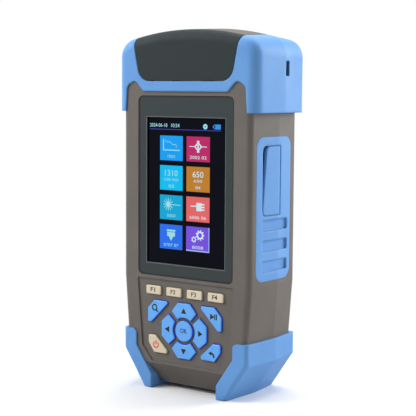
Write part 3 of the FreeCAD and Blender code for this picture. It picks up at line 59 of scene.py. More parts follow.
def addNode(tree, kind, settings, links=None):
    # settings are the node's own properties or its sockets' values; links feed its sockets
    node = tree.nodes.new(kind)
    for name, value in settings.items():
        if hasattr(node, name):
            setattr(node, name, value)
        else:
            node.inputs[name].default_value = value
    for name, source in (links or {}).items():
        tree.links.new(source, node.inputs[name])
    return node


def startMaterial(name):
    material = bpy.data.materials.new(name)
    material.use_nodes = True
    tree = material.node_tree
    tree.nodes.clear()
    place = addNode(tree, "ShaderNodeTexCoord", {})
    return material, tree, place.outputs["Object"]


def closeMaterial(tree, shader):
    addNode(tree, "ShaderNodeOutputMaterial", {}, {"Surface": shader.outputs[0]})


def perMetre(sizeInMm):
    # noise scale that gives features of about that size
    return 1 / (sizeInMm * mm)


def grainNormal(tree, place, grainMm, depthMm, strength, softEdgeMm):
    # fine moulded grain over edges that catch light as if broken by softEdgeMm
    grain = addNode(tree, "ShaderNodeTexNoise", {"Scale": perMetre(grainMm), "Detail": 3.0,
                                                 "Roughness": 0.6}, {"Vector": place})
    edge = addNode(tree, "ShaderNodeBevel", {"samples": 6, "Radius": softEdgeMm * mm})
    bump = addNode(tree, "ShaderNodeBump", {"Strength": strength, "Distance": depthMm * mm},
                   {"Height": grain.outputs["Fac"], "Normal": edge.outputs["Normal"]})
    return bump.outputs["Normal"]


def twoTone(tree, place, first, second, patchMm):
    # two near shades in soft patches, as a moulding's flow leaves them
    cloud = addNode(tree, "ShaderNodeTexNoise", {"Scale": perMetre(patchMm), "Detail": 2.0},
                    {"Vector": place})
    ramp = addNode(tree, "ShaderNodeValToRGB", {}, {"Fac": cloud.outputs["Fac"]})
    ramp.color_ramp.elements[0].position = 0.35
    ramp.color_ramp.elements[0].color = paint(first)
    ramp.color_ramp.elements[1].position = 0.65
    ramp.color_ramp.elements[1].color = paint(second)
    return ramp.outputs["Color"]


def unevenRoughness(tree, place, low, high, patchMm):
    cloud = addNode(tree, "ShaderNodeTexNoise", {"Scale": perMetre(patchMm), "Detail": 4.0},
                    {"Vector": place})
    spread = addNode(tree, "ShaderNodeMapRange", {"From Min": 0.3, "From Max": 0.7,
                                                  "To Min": low, "To Max": high},
                     {"Value": cloud.outputs["Fac"]})
    return spread.outputs["Result"]


# Finishes, each named for what the real one is

def mouldedAbs():
    # spark-textured grey ABS of the two shells: matt, slightly warm, a fine even grain
    finish = {"shades": ("#69645F", "#6E6863"), "flowMm": 22, "roughness": (0.5, 0.6),
              "wearMm": 6, "grainMm": 0.45, "depthMm": 0.05, "relief": 0.35, "softEdgeMm": 0.35}
    material, tree, place = startMaterial("mouldedAbs")
    shader = addNode(tree, "ShaderNodeBsdfPrincipled", {"IOR": 1.54, "Specular IOR Level": 0.25}, {
        "Base Color": twoTone(tree, place, *finish["shades"], finish["flowMm"]),
        "Roughness": unevenRoughness(tree, place, *finish["roughness"], finish["wearMm"]),
        "Normal": grainNormal(tree, place, finish["grainMm"], finish["depthMm"],
                              finish["relief"], finish["softEdgeMm"])})
    closeMaterial(tree, shader)
    return material


def shaded(tree, place, colour, middle, half, left):
    # the colour keeps only the share left of its light inside a box, such as a deep narrow slot
    split = addNode(tree, "ShaderNodeSeparateXYZ", {}, {"Vector": place})
    inside = None
    for axis, centre, reach in zip("XYZ", middle, half):
        within = addNode(tree, "ShaderNodeMath", {"operation": "COMPARE"}, {0: split.outputs[axis]})
        within.inputs[1].default_value = centre
        within.inputs[2].default_value = reach
        if inside:
            within = addNode(tree, "ShaderNodeMath", {"operation": "MULTIPLY"},
                             {0: inside.outputs[0], 1: within.outputs[0]})
        inside = within
    share = addNode(tree, "ShaderNodeMapRange", {"To Min": 1.0, "To Max": left},
                    {"Value": inside.outputs[0]})
    scaled = addNode(tree, "ShaderNodeVectorMath", {"operation": "SCALE"},
                     {"Vector": colour, "Scale": share.outputs["Result"]})
    return scaled.outputs["Vector"]


def softTpe():
    # overmoulded elastomer of boot, guards and pads: satin light blue, smooth to the touch,
    # and darkened by painted shade inside the lanyard slot
    finish = {"shades": ("#669FE1", "#6EA6E5"), "flowMm": 30, "roughness": (0.44, 0.54),
              "wearMm": 9, "grainMm": 0.6, "depthMm": 0.03, "relief": 0.25, "softEdgeMm": 1.5,
              # painted shade: the lanyard slot's box, and the share of the colour left inside it
              "slotMiddle": (46 * mm, 3.5 * mm, 182.96 * mm),
              "slotHalf": (5 * mm, 1.95 * mm, 4.1 * mm), "slotLight": 0.5}
    material, tree, place = startMaterial("softTpe")
    skin = twoTone(tree, place, *finish["shades"], finish["flowMm"])
    shader = addNode(tree, "ShaderNodeBsdfPrincipled", {
        "IOR": 1.5, "Specular IOR Level": 0.2, "Sheen Weight": 0.04, "Sheen Roughness": 0.45}, {
        "Base Color": shaded(tree, place, skin, finish["slotMiddle"], finish["slotHalf"],
                             finish["slotLight"]),
        "Roughness": unevenRoughness(tree, place, *finish["roughness"], finish["wearMm"]),
        "Normal": grainNormal(tree, place, finish["grainMm"], finish["depthMm"],
                              finish["relief"], finish["softEdgeMm"])})
    closeMaterial(tree, shader)
    return material


def acrossDepth(tree, place, front, behind, startY, endY):
    # one colour in front of startY and another behind endY: two shots of plastic meeting on the
    # cover and keys, and painted shade on the display frame's walls
    split = addNode(tree, "ShaderNodeSeparateXYZ", {}, {"Vector": place})
    depth = addNode(tree, "ShaderNodeMapRange", {"From Min": startY, "From Max": endY},
                    {"Value": split.outputs["Y"]})
    ramp = addNode(tree, "ShaderNodeValToRGB", {}, {"Fac": depth.outputs["Result"]})
    ramp.color_ramp.elements[0].color = paint(front)
    ramp.color_ramp.elements[1].color = paint(behind)
    return ramp.outputs["Color"]


def frameAbs(frontY):
    # slate ABS of the display's frame, satin, with near-black painted shade on its side walls
    # behind the front skin
    finish = {"skin": "#394143", "wallShade": "#0E1012", "skinMm": (0.15, 0.3),
              "roughness": (0.38, 0.46), "wearMm": 5, "grainMm": 0.4, "depthMm": 0.03,
              "relief": 0.3, "softEdgeMm": 0.3}
    material, tree, place = startMaterial("slateFrameAbs")
    startY, endY = (frontY + deep * mm for deep in finish["skinMm"])
    shader = addNode(tree, "ShaderNodeBsdfPrincipled", {"IOR": 1.54, "Specular IOR Level": 0.15}, {
        "Base Color": acrossDepth(tree, place, finish["skin"], finish["wallShade"], startY, endY),
        "Roughness": unevenRoughness(tree, place, *finish["roughness"], finish["wearMm"]),
        "Normal": grainNormal(tree, place, finish["grainMm"], finish["depthMm"],
                              finish["relief"], finish["softEdgeMm"])})
    closeMaterial(tree, shader)
    return material


def coverAbs():
    # two-shot dust cover and tray: a satin slate front, and behind it the shells' warm grey
    finish = {"front": "#323A3B", "behind": "#6B6662", "startY": -19.4 * mm, "endY": -19.0 * mm,
              "roughness": (0.56, 0.64), "wearMm": 5, "grainMm": 0.4, "depthMm": 0.03,
              "relief": 0.3, "softEdgeMm": 0.3}
    material, tree, place = startMaterial("slateCoverAbs")
    shader = addNode(tree, "ShaderNodeBsdfPrincipled", {"IOR": 1.54, "Specular IOR Level": 0.1}, {
        "Base Color": acrossDepth(tree, place, finish["front"], finish["behind"],
                                  finish["startY"], finish["endY"]),
        "Roughness": unevenRoughness(tree, place, *finish["roughness"], finish["wearMm"]),
        "Normal": grainNormal(tree, place, finish["grainMm"], finish["depthMm"],
                              finish["relief"], finish["softEdgeMm"])})
    closeMaterial(tree, shader)
    return material


def coverGlass():
    # glass with an anti-reflective coat over a dark panel: near black, with a faint wiped smear
    finish = {"shades": ("#04040F", "#080816"), "cloudMm": 40, "roughness": (0.12, 0.2),
              "smearMm": 14}
    material, tree, place = startMaterial("coverGlass")
    shader = addNode(tree, "ShaderNodeBsdfPrincipled", {"IOR": 1.5, "Specular IOR Level": 0.05}, {
        "Base Color": twoTone(tree, place, *finish["shades"], finish["cloudMm"]),
        "Roughness": unevenRoughness(tree, place, *finish["roughness"], finish["smearMm"])})
    closeMaterial(tree, shader)
    return material


def keyCap(name, top, wall, topY):
    # two-shot key: a light skin over a more saturated body that shows at the walls
    finish = {"skinMm": (0.15, 0.4), "roughness": (0.38, 0.48), "wearMm": 3, "grainMm": 0.5,
              "depthMm": 0.02, "relief": 0.25, "softEdgeMm": 0.3}
    material, tree, place = startMaterial(name)
    startY, endY = (topY + deep * mm for deep in finish["skinMm"])
    shader = addNode(tree, "ShaderNodeBsdfPrincipled", {"IOR": 1.46, "Coat Weight": 0.15,
                                                        "Coat Roughness": 0.3}, {
        "Base Color": acrossDepth(tree, place, top, wall, startY, endY),
        "Roughness": unevenRoughness(tree, place, *finish["roughness"], finish["wearMm"]),
        "Normal": grainNormal(tree, place, finish["grainMm"], finish["depthMm"],
                              finish["relief"], finish["softEdgeMm"])})
    closeMaterial(tree, shader)
    return material


def platedMetal(name, tint, roughness):
    # nickel, zinc or gold plating: bright, with faint rubbed marks; real ones are finer than
    # 0.1 mm, and these are drawn at 2 mm, as finer ones only speckle in the render
    finish = {"marksMm": 2.0, "depthMm": 0.01, "relief": 0.04, "spread": 0.12, "wearMm": 1.2}
    material, tree, place = startMaterial(name)
    marks = addNode(tree, "ShaderNodeTexNoise", {"Scale": perMetre(finish["marksMm"]),
                                                 "Detail": 2.0}, {"Vector": place})
    bump = addNode(tree, "ShaderNodeBump", {"Strength": finish["relief"],
                                            "Distance": finish["depthMm"] * mm},
                   {"Height": marks.outputs["Fac"]})
    shader = addNode(tree, "ShaderNodeBsdfPrincipled", {
        "Metallic": 1.0, "Base Color": paint(tint)}, {
        "Roughness": unevenRoughness(tree, place, roughness, roughness + finish["spread"],
                                     finish["wearMm"]),
        "Normal": bump.outputs["Normal"]})
    closeMaterial(tree, shader)
    return material


def plainMoulding(name, shades, roughness, grainMm):
    # small unpainted mouldings and wraps: one colour, a little uneven
    material, tree, place = startMaterial(name)
    shader = addNode(tree, "ShaderNodeBsdfPrincipled", {"IOR": 1.5}, {
        "Base Color": twoTone(tree, place, *shades, grainMm * 12),
        "Roughness": unevenRoughness(tree, place, roughness, roughness + 0.1, grainMm * 6),
        "Normal": grainNormal(tree, place, grainMm, 0.02, 0.25, 0.15)})
    closeMaterial(tree, shader)
    return material


def printOrPaintedLine(name, shade):
    # flat, dense colour with a slightly dry surface: screen-printed legends, and the painted shadow
    # and painted highlight lines on the display's frame
    material, tree, place = startMaterial(name)
    shader = addNode(tree, "ShaderNodeBsdfPrincipled", {
        "IOR": 1.45, "Base Color": paint(shade)}, {
        "Roughness": unevenRoughness(tree, place, 0.5, 0.62, 0.8)})
    closeMaterial(tree, shader)
    return material


def litPixels(name, shade, glow):
    # backlit display colour under the glass: it glows about as bright as it is written
    material, tree, place = startMaterial(name)
    rows = addNode(tree, "ShaderNodeTexNoise", {"Scale": perMetre(9), "Detail": 1.0},
                   {"Vector": place})
    ramp = addNode(tree, "ShaderNodeValToRGB", {}, {"Fac": rows.outputs["Fac"]})
    ramp.color_ramp.elements[0].color = [c * 0.9 for c in paint(shade)]
    ramp.color_ramp.elements[1].color = paint(shade)
    shader = addNode(tree, "ShaderNodeBsdfPrincipled", {
        "Base Color": paint("#050508"), "Roughness": 0.16, "Specular IOR Level": 0.05,
        "Emission Strength": glow},
        {"Emission Color": ramp.outputs["Color"]})
    closeMaterial(tree, shader)
    return material


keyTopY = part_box("key_ok")[0].y
finishes = {
    "case_plastic": mouldedAbs(),
    "soft_blue": softTpe(),
    "cover_plastic": coverAbs(),
    "bezel_plastic": frameAbs(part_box("display_bezel")[0].y),
    "display_glass": coverGlass(),
    "module_metal": platedMetal("zincSheet", "#B4B6B8", 0.35),      # pale grey, soft glints
    "port_metal": platedMetal("nickelBrass", "#D2CFC6", 0.32),      # warm silver, bright rims
    "ceramic": plainMoulding("zirconia", ("#F2F0EA", "#ECEAE3"), 0.15, 1.0),        # glassy ivory
    "key_rubber": plainMoulding("siliconeMat", ("#26282A", "#2C2E31"), 0.7, 0.6),   # dull black
    "key_blue": keyCap("blueKeyCap", "#66B2FF", "#2E6CFF", keyTopY),    # light top, deep blue rim
    "key_cream": keyCap("creamKeyCap", "#E2D4B8", "#B7A987", keyTopY),  # ivory top, tan rim
    "board": plainMoulding("solderMask", ("#1D5637", "#23603F"), 0.35, 0.5),        # green, glossy
    "battery_wrap": plainMoulding("shrinkWrap", ("#294885", "#2F5090"), 0.3, 3.0),  # blue film
    "jack_plastic": plainMoulding("blackNylon", ("#18191B", "#1F2022"), 0.45, 0.4),     # soft black
    "screw_steel": platedMetal("blackenedSteel", "#5A5C5E", 0.35),      # dark heads, a dull shine
}
slotOf = {part["node"]: part["material_slot"] for part in frame["record"]["subparts"]}
for nodeName, node in nodes.items():
    for socket in node.material_slots:
        socket.material = finishes[slotOf[nodeName]]
print("finishes:", len(finishes))


# Flat artwork: shapes are drawn in X and Y, stood up to face the front, and given a thin body

standUp = Matrix.Rotation(math.radians(90), 4, "X")


def at(x, y, turn=0.0):
    return Matrix.Translation((x * mm, y * mm, 0)) @ Matrix.Rotation(math.radians(turn), 4, "Z")


def bar(bm, x, y, wide, high, turn=0.0):
    stretch = Matrix.Diagonal((wide * mm, high * mm, 1, 1))
    bmesh.ops.create_grid(bm, x_segments=1, y_segments=1, size=0.5,
                          matrix=at(x, y, turn) @ stretch)


def disc(bm, x, y, radius, sides=32, turn=0.0):
    bmesh.ops.create_circle(bm, cap_ends=True, segments=sides, radius=radius * mm,
                            matrix=at(x, y, turn))


def ring(bm, x, y, radius, stroke, sides=32, start=0.0, sweep=360.0):
    # a short radial edge spun round the centre
    centre = Vector((x * mm, y * mm, 0))
    arm = Matrix.Rotation(math.radians(start), 4, "Z") @ Vector((mm, 0, 0))
    inner = bm.verts.new(centre + arm * (radius - stroke / 2))
    outer = bm.verts.new(centre + arm * (radius + stroke / 2))
    edge = bm.edges.new((inner, outer))
    bmesh.ops.spin(bm, geom=[inner, outer, edge], cent=centre, axis=(0, 0, 1), steps=sides,
                   angle=math.radians(sweep), use_merge=sweep == 360.0)


def line(bm, points, stroke):
    # straight strokes from point to point, with round joints
    for (x0, y0), (x1, y1) in zip(points, points[1:]):
        long = math.hypot(x1 - x0, y1 - y0)
        turn = math.degrees(math.atan2(y1 - y0, x1 - x0))
        bar(bm, (x0 + x1) / 2, (y0 + y1) / 2, long, stroke, turn)
    for x, y in points[1:-1]:
        disc(bm, x, y, stroke / 2, 8)


def writing(bm, text, x, y, high, wide=None, weight=0.0):
    # plain figures from the built-in face, centred, high mm tall and fitted to wide mm
    curve = bpy.data.curves.new("writing", "FONT")
    curve.body = text
    curve.offset = weight
    curve.resolution_u = 4
    holder = bpy.data.objects.new("writing", curve)
    flat = bpy.data.meshes.new_from_object(holder)
    xs = [v.co.x for v in flat.vertices]
    ys = [v.co.y for v in flat.vertices]
    tall = high * mm / (max(ys) - min(ys))
    broad = wide * mm / (max(xs) - min(xs)) if wide else tall
    centre = Matrix.Translation((-(max(xs) + min(xs)) / 2, -(max(ys) + min(ys)) / 2, 0))
    flat.transform(at(x, y) @ Matrix.Diagonal((broad, tall, 1, 1)) @ centre)
    bm.from_mesh(flat)
    bpy.data.objects.remove(holder)
    bpy.data.curves.remove(curve)
    bpy.data.meshes.remove(flat)


def finishArt(bm, name, body, material, place, thick):
    # place is where the drawing's origin lies; the art stands proud of it by thick mm
    bmesh.ops.remove_doubles(bm, verts=bm.verts, dist=1e-7)
    for face in bm.faces:
        if face.normal.z < 0:
            face.normal_flip()
    grown = bmesh.ops.extrude_face_region(bm, geom=list(bm.faces))
    raised = [part for part in grown["geom"] if isinstance(part, bmesh.types.BMVert)]
    bmesh.ops.translate(bm, verts=raised, vec=(0, 0, thick * mm))
    bmesh.ops.recalc_face_normals(bm, faces=bm.faces)
    bmesh.ops.transform(bm, matrix=Matrix.Translation(place) @ standUp, verts=bm.verts)
    mesh = bpy.data.meshes.new(name)
    bm.to_mesh(mesh)
    bm.free()
    mesh.materials.append(material)
    piece = bpy.data.objects.new(name, mesh)
    bpy.context.scene.collection.objects.link(piece)
    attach(piece, body)
    return piece


# Display picture: status line, eight tiles and their plain pictograms

screen = {
    "middle": (-1.1, 113.4),       # middle of the tiles, X and Z in mm
    "tile": (16.0, 13.9),
    "pitch": (18.65, 16.7),
    "tileColours": ("#18A4FA", "#C22C6C", "#0CC4FA", "#C4832E", "#10ACDC", "#EA6A6A", "#2C74F4",
                    "#7A54E4"),
    "picture": 0.02,               # thickness of one lit layer
    "glow": 0.9, "tileGlow": 0.95, "ruleGlow": 0.8,
    "figures": {"drop": 4.6, "high": 1.7},
    "chosen": {"tile": 7, "right": 0.6, "foot": 0.7},      # the tile with a light edge
}
statusLine = {
    "z": 151.0, "lift": 0.2, "high": 2.0, "weight": 0.005,
    "date": ("2024-06-18", -19.6, 12.4), "time": ("10:24", -7.7, 5.8),     # text, X, width
    "dial": (13.0, 0.95, 1.1),                             # X, radius, stroke
    "batteryX": 21.6,
    "rule": (-1.1, 148.9, 49.4, 0.45),                     # middle X and Z, width, height
}
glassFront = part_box("display_glass")[0].y


def screenPlace(layer):
    return Vector((0, glassFront - (0.01 + layer * screen["picture"]) * mm, 0))


def tileMiddle(index):
    column, row = index % 2, index // 2
    return (screen["middle"][0] + (column - 0.5) * screen["pitch"][0],
            screen["middle"][1] + (1.5 - row) * screen["pitch"][1])


def traceIcon(bm, x, y):
    line(bm, [(x - 5.6, y + 5.0), (x - 5.6, y - 1.1), (x + 5.9, y - 1.1)], 0.6)
    line(bm, [(x - 4.6, y + 4.4), (x - 2.9, y + 3.3), (x - 1.2, y + 3.7), (x - 0.1, y + 2.8),
              (x + 0.9, y + 2.0), (x + 2.9, y + 2.2), (x + 3.4, y + 1.6),
              (x + 3.5, y + 0.3)], 0.28)


def pulseIcon(bm, x, y):
    line(bm, [(x - 6.0, y + 1.4), (x - 2.4, y + 1.4)], 0.4)
    line(bm, [(x + 2.4, y + 1.4), (x + 6.0, y + 1.4)], 0.4)
    ring(bm, x, y + 1.4, 2.2, 1.1, 4)
    bar(bm, x, y + 1.4, 1.0, 2.4)
    bar(bm, x, y + 4.2, 1.7, 0.9)
    bar(bm, x, y - 1.4, 1.7, 0.9)


def figuresIcon(large, largeWide, small, smallWide):
    def draw(bm, x, y):
        writing(bm, large, x, y + 2.7, 3.3, largeWide, 0.004)
        writing(bm, small, x, y - 0.9, 1.5, smallWide)
    return draw


def burstIcon(bm, x, y):
    centre = (x - 2.0, y + 1.6)
    disc(bm, *centre, 1.6, 24)
    for ray in range(12):
        angle = math.radians(30 * ray)
        bar(bm, centre[0] + 2.6 * math.cos(angle), centre[1] + 2.6 * math.sin(angle), 1.9, 0.4,
            30 * ray)
    line(bm, [(x + 1.2, y + 1.6), (x + 6.6, y + 1.6)], 0.4)


def plugIcon(bm, x, y):
    bar(bm, x + 0.8, y + 1.4, 3.6, 4.6)
    for step in (-1.5, 0, 1.5):
        bar(bm, x + 3.6, y + 1.4 + step, 2.0, 0.8)
    line(bm, [(x - 5.0, y + 1.7), (x - 1.0, y + 1.7)], 0.6)


def jackIcon(bm, x, y):
    bar(bm, x, y + 3.6, 6.0, 1.1)
    bar(bm, x, y + 1.5, 5.6, 2.4)
    disc(bm, x, y - 0.4, 2.0, 3, 180)


def gear(bm, x, y, radius, teeth):
    ring(bm, x, y, radius, radius * 0.55, 24)
    for tooth in range(teeth):
        turn = 360 / teeth * tooth
        angle = math.radians(turn)
        reach = radius * 1.42
        bar(bm, x + reach * math.cos(angle), y + reach * math.sin(angle), radius * 0.5,
            radius * 0.42, turn)


def gearsIcon(bm, x, y):
    gear(bm, x + 1.6, y + 2.4, 1.8, 9)
    gear(bm, x - 2.6, y - 0.2, 1.1, 7)


icons = [traceIcon, pulseIcon, figuresIcon("1310", 9.0, "1550 1625", 10.2),
         figuresIcon("650", 7.4, "650", 5.8), burstIcon, plugIcon, jackIcon, gearsIcon]
tileFigures = [("1001", 5.0), ("2002 02", 11.6), ("03", 3.8), ("04", 3.4), ("5050", 6.0),
               ("6006 06", 11.4), ("0707 07", 10.4), ("8008", 7.6)]


def makeDisplay():
    white = litPixels("litWhite", "#DDF4FF", screen["glow"])
    pale = litPixels("litPale", "#A6ECF6", screen["glow"])      # on the left column's blue tiles
    tileInk = [litPixels(f"litTile{i + 1}", colour, screen["tileGlow"])
               for i, colour in enumerate(screen["tileColours"])]
    for i, draw in enumerate(icons):
        x, z = tileMiddle(i)
        tile = bmesh.new()
        bar(tile, x, z, *screen["tile"])
        finishArt(tile, f"screen_tile_{i + 1}", "case", tileInk[i], screenPlace(0),
                  screen["picture"])
        icon = bmesh.new()
        draw(icon, x, z)
        figures, wide = tileFigures[i]
        writing(icon, figures, x, z - screen["figures"]["drop"], screen["figures"]["high"], wide)
        finishArt(icon, f"screen_icon_{i + 1}", "case", white if i % 2 else pale,
                  screenPlace(1), screen["picture"])
    chosen = bmesh.new()       # light edge of the chosen tile
    x, z = tileMiddle(screen["chosen"]["tile"])
    wide, high = screen["tile"]
    right, foot = screen["chosen"]["right"], screen["chosen"]["foot"]
    bar(chosen, x + wide / 2 - right / 2, z, right, high)
    bar(chosen, x, z - high / 2 + foot / 2, wide, foot)
    finishArt(chosen, "screen_choice", "case", litPixels("litEdge", "#A8BCFF", screen["glow"]),
              screenPlace(1), screen["picture"])
    status = bmesh.new()
    z = statusLine["z"]
    for text, x, wide in (statusLine["date"], statusLine["time"]):
        writing(status, text, x, z + statusLine["lift"], statusLine["high"], wide,
                statusLine["weight"])
    x, radius, stroke = statusLine["dial"]
    ring(status, x, z, radius, stroke)
    finishArt(status, "screen_status", "case", pale, screenPlace(0),
              screen["picture"])
    charge = bmesh.new()       # battery: the charge, the empty end's outline and the pole
    x = statusLine["batteryX"]
    bar(charge, x, z, 3.6, 2.7)
    line(charge, [(x - 1.7, z + 1.2), (x - 2.7, z + 1.0), (x - 2.7, z - 1.0),
                  (x - 1.7, z - 1.2)], 0.35)
    bar(charge, x - 3.2, z, 0.5, 1.1)
    finishArt(charge, "screen_charge", "case", litPixels("litBattery", "#3C9CF0", screen["glow"]),
              screenPlace(0), screen["picture"])
    rule = bmesh.new()
    bar(rule, *statusLine["rule"])
    finishArt(rule, "screen_rule", "case", litPixels("litRule", "#4448B4", screen["ruleGlow"]),
              screenPlace(0), screen["picture"])


makeDisplay()
print("display lit")


# Lines on the display's frame: a painted shadow line round its edge and a painted highlight line
# round the window

frameLines = {"shadowLine": 0.75, "rim": 0.3, "corner": 3.0, "lift": 0.004, "thick": 0.02,
              "window": (-27.3, 27.3, 72.8, 155.8)}        # left, right, low, high in mm


def outline(bm, left, right, low, high, corner, stroke):
    # four bars and four quarter rings, all inside the given edges
    inset, midX, midZ = stroke / 2, (left + right) / 2, (low + high) / 2
    for z in (low + inset, high - inset):
        bar(bm, midX, z, right - left - 2 * corner, stroke)
    for x in (left + inset, right - inset):
        bar(bm, x, midZ, stroke, high - low - 2 * corner)
    for x, z, start in ((right - corner, high - corner, 0), (left + corner, high - corner, 90),
                        (left + corner, low + corner, 180), (right - corner, low + corner, 270)):
        ring(bm, x, z, corner - inset, stroke, 8, start, 90)


def makeFrameLines():
    low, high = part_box("display_bezel")
    place = Vector((0, low.y - frameLines["lift"] * mm, 0))
    shadowLine = bmesh.new()         # painted shadow: a dull black line round the frame's edge, for the dark gap there
    outline(shadowLine, low.x / mm, high.x / mm, low.z / mm, high.z / mm, frameLines["corner"],
            frameLines["shadowLine"])
    finishArt(shadowLine, "frame_shadow_line", "case", printOrPaintedLine("shadowLineInk", "#121416"),
              place, frameLines["thick"])
    rim = bmesh.new()          # painted highlight: a thin pale line round the window, as on its lit chamfer
    left, right, bottom, top = frameLines["window"]
    reach = frameLines["rim"]
    outline(rim, left - reach, right + reach, bottom - reach, top + reach, reach * 1.5, reach)
    finishArt(rim, "window_highlight_line", "case", printOrPaintedLine("highlightInk", "#686F71"),
              place, frameLines["thick"])


makeFrameLines()
print("frame lines drawn")


# Key legends: thin print on each key's top, riding on the key

legendBlack = printOrPaintedLine("legendBlack", "#0A0A0C")
legendBlue = printOrPaintedLine("legendBlue", "#1C48A4")
legendRed = printOrPaintedLine("legendRed", "#EE4A38")
legends = {"lift": 0.004, "thick": 0.02, "okZ": 35.7, "reach": 11.2}


def triangle(turn):
    # turn counts from a triangle that points up
    def draw(bm, x, z):
        disc(bm, x, z, 2.1, 3, turn)
    return draw


def functionLegend(text):
    def draw(bm, x, z):
        writing(bm, text, x - 0.3, z + 0.2, 2.5, 3.3, 0.015)
    return draw


def zoomLegend(bm, x, z):
    ring(bm, x + 1.2, z + 0.3, 1.6, 0.8)
    line(bm, [(x + 2.3, z - 0.9), (x + 3.6, z - 2.3)], 0.9)


def playLegend(bm, x, z):
    disc(bm, x - 1.0, z + 0.6, 2.0, 3, -90)
    bar(bm, x + 1.2, z + 0.6, 0.75, 3.3)
    bar(bm, x + 2.35, z + 0.6, 0.75, 3.3)


def powerLegend(bm, x, z):
    ring(bm, x + 0.9, z - 0.9, 1.75, 0.75, 28, 125, 290)
    bar(bm, x + 0.9, z + 0.4, 0.75, 2.4)


def backLegend(bm, x, z):
    disc(bm, x - 1.3, z - 0.3, 1.4, 3, 90)
    ring(bm, x - 0.7, z - 1.9, 1.7, 1.1, 16, -20, 110)


def okLegend(bm, x, z):
    writing(bm, "OK", x, z + 0.3, 2.6, 5.2, 0.02)


legendArt = {                   # drawing, ink, X and Z in mm
    "key_f1": (functionLegend("F1"), legendBlack, -21.75, 57.2),
    "key_f2": (functionLegend("F2"), legendBlack, -7.25, 57.2),
    "key_f3": (functionLegend("F3"), legendBlack, 7.25, 57.2),
    "key_f4": (functionLegend("F4"), legendBlack, 21.75, 57.2),
    "key_zoom": (zoomLegend, legendBlack, -21.9, 46.9),
    "key_play": (playLegend, legendBlack, 20.4, 45.8),
    "key_power": (powerLegend, legendRed, -20.6, 26.6),
    "key_back": (backLegend, legendBlack, 20.0, 26.0),
    "key_up": (triangle(0), legendBlack, 0, legends["okZ"] + legends["reach"]),
    "key_down": (triangle(180), legendBlack, 0, legends["okZ"] - legends["reach"]),
    "key_left": (triangle(90), legendBlack, -legends["reach"], legends["okZ"]),
    "key_right": (triangle(-90), legendBlack, legends["reach"], legends["okZ"]),
    "key_ok": (okLegend, legendBlue, 0, legends["okZ"]),
}


def makeLegends():
    for key, (draw, ink, x, z) in legendArt.items():
        art = bmesh.new()
        draw(art, x, z)
        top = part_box(key)[0].y
        finishArt(art, f"{key}_legend", key, ink,
                  Vector((0, top - legends["lift"] * mm, 0)), legends["thick"])


makeLegends()
print("legends printed:", len(legendArt))


# Gold contacts in the network jack's mouth

contacts = {"count": 8, "pitch": 1.02, "wire": 0.24, "drop": 2.4, "long": 7.0,
            "wall": 1.25, "fromMouth": 2.2}


def makeContacts():
    low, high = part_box("network_jack")
    gold = platedMetal("goldContact", "#E2B65A", 0.3)
    middle = (low + high) / 2
    wallY = low.y + contacts["wall"] * mm       # front wall of the mouth
    bm = bmesh.new()
    for i in range(contacts["count"]):
        z = middle.z + (i - (contacts["count"] - 1) / 2) * contacts["pitch"] * mm
        start = Vector((high.x - contacts["fromMouth"] * mm, wallY, z))
        end = start + Vector((-contacts["long"] * mm, contacts["drop"] * mm, 0))
        run = end - start
        turn = Vector((0, 0, 1)).rotation_difference(run).to_matrix().to_4x4()
        bmesh.ops.create_cone(bm, cap_ends=True, segments=10, radius1=contacts["wire"] * mm,
                              radius2=contacts["wire"] * mm, depth=run.length,
                              matrix=Matrix.Translation((start + end) / 2) @ turn)
    mesh = bpy.data.meshes.new("jack_contacts")
    bm.to_mesh(mesh)
    bm.free()
    mesh.materials.append(gold)
    piece = bpy.data.objects.new("jack_contacts", mesh)
    bpy.context.scene.collection.objects.link(piece)
    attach(piece, "case")


makeContacts()
print("contacts set")


# Studio: pale floor, soft lights, camera at the photograph's angle

studio = {                      # metres, radians, and millimetres for the lens
    "camera": Vector((0.397117, -0.549963, 0.171463)),
    "yaw": 0.627079, "pitch": 0.099674, "roll": 0.006585,
    "lens": 102.82,
    "softWorld": 0.16, "whiteWorld": 1.0,
    "floorTones": ("#CCCCCC", "#FFFFFF"), "fade": (0.02, 0.2), "floorRadius": 6.0,
    "aim": (0, 0, 0.1),
}


def makeCamera():
    a, e, r = studio["yaw"], studio["pitch"], studio["roll"]
    back = Vector((math.sin(a) * math.cos(e), -math.cos(a) * math.cos(e), math.sin(e)))
    right = Vector((math.cos(a), math.sin(a), 0))
    up = back.cross(right)
    turnedRight = right * math.cos(r) + up * math.sin(r)
    turnedUp = up * math.cos(r) - right * math.sin(r)
    view = Matrix((turnedRight, turnedUp, back)).transposed().to_4x4()
    data = bpy.data.cameras.new("camera")
    data.lens = studio["lens"]
    data.sensor_width = 36
    data.clip_start = 0.01
    camera = bpy.data.objects.new("camera", data)
    camera.matrix_world = Matrix.Translation(studio["camera"]) @ view
    bpy.context.scene.collection.objects.link(camera)
    bpy.context.scene.camera = camera


def softLight(name, place, aim, size, power):
    data = bpy.data.lights.new(name, "AREA")
    data.shape = "SQUARE"
    data.size = size
    data.energy = power
    lamp = bpy.data.objects.new(name, data)
    lamp.location = place
    lamp.rotation_mode = "QUATERNION"
    lamp.rotation_quaternion = (Vector(aim) - Vector(place)).to_track_quat("-Z", "Y")
    bpy.context.scene.collection.objects.link(lamp)


def shownRays(tree, path):
    # 1 for rays that show the backdrop: straight, mirrored or through glass
    mirrored = addNode(tree, "ShaderNodeMath", {"operation": "MAXIMUM"},
                       {0: path.outputs["Is Glossy Ray"], 1: path.outputs["Is Transmission Ray"]})
    shown = addNode(tree, "ShaderNodeMath", {"operation": "MAXIMUM"},
                    {0: path.outputs["Is Camera Ray"], 1: mirrored.outputs[0]})
    return shown.outputs[0]


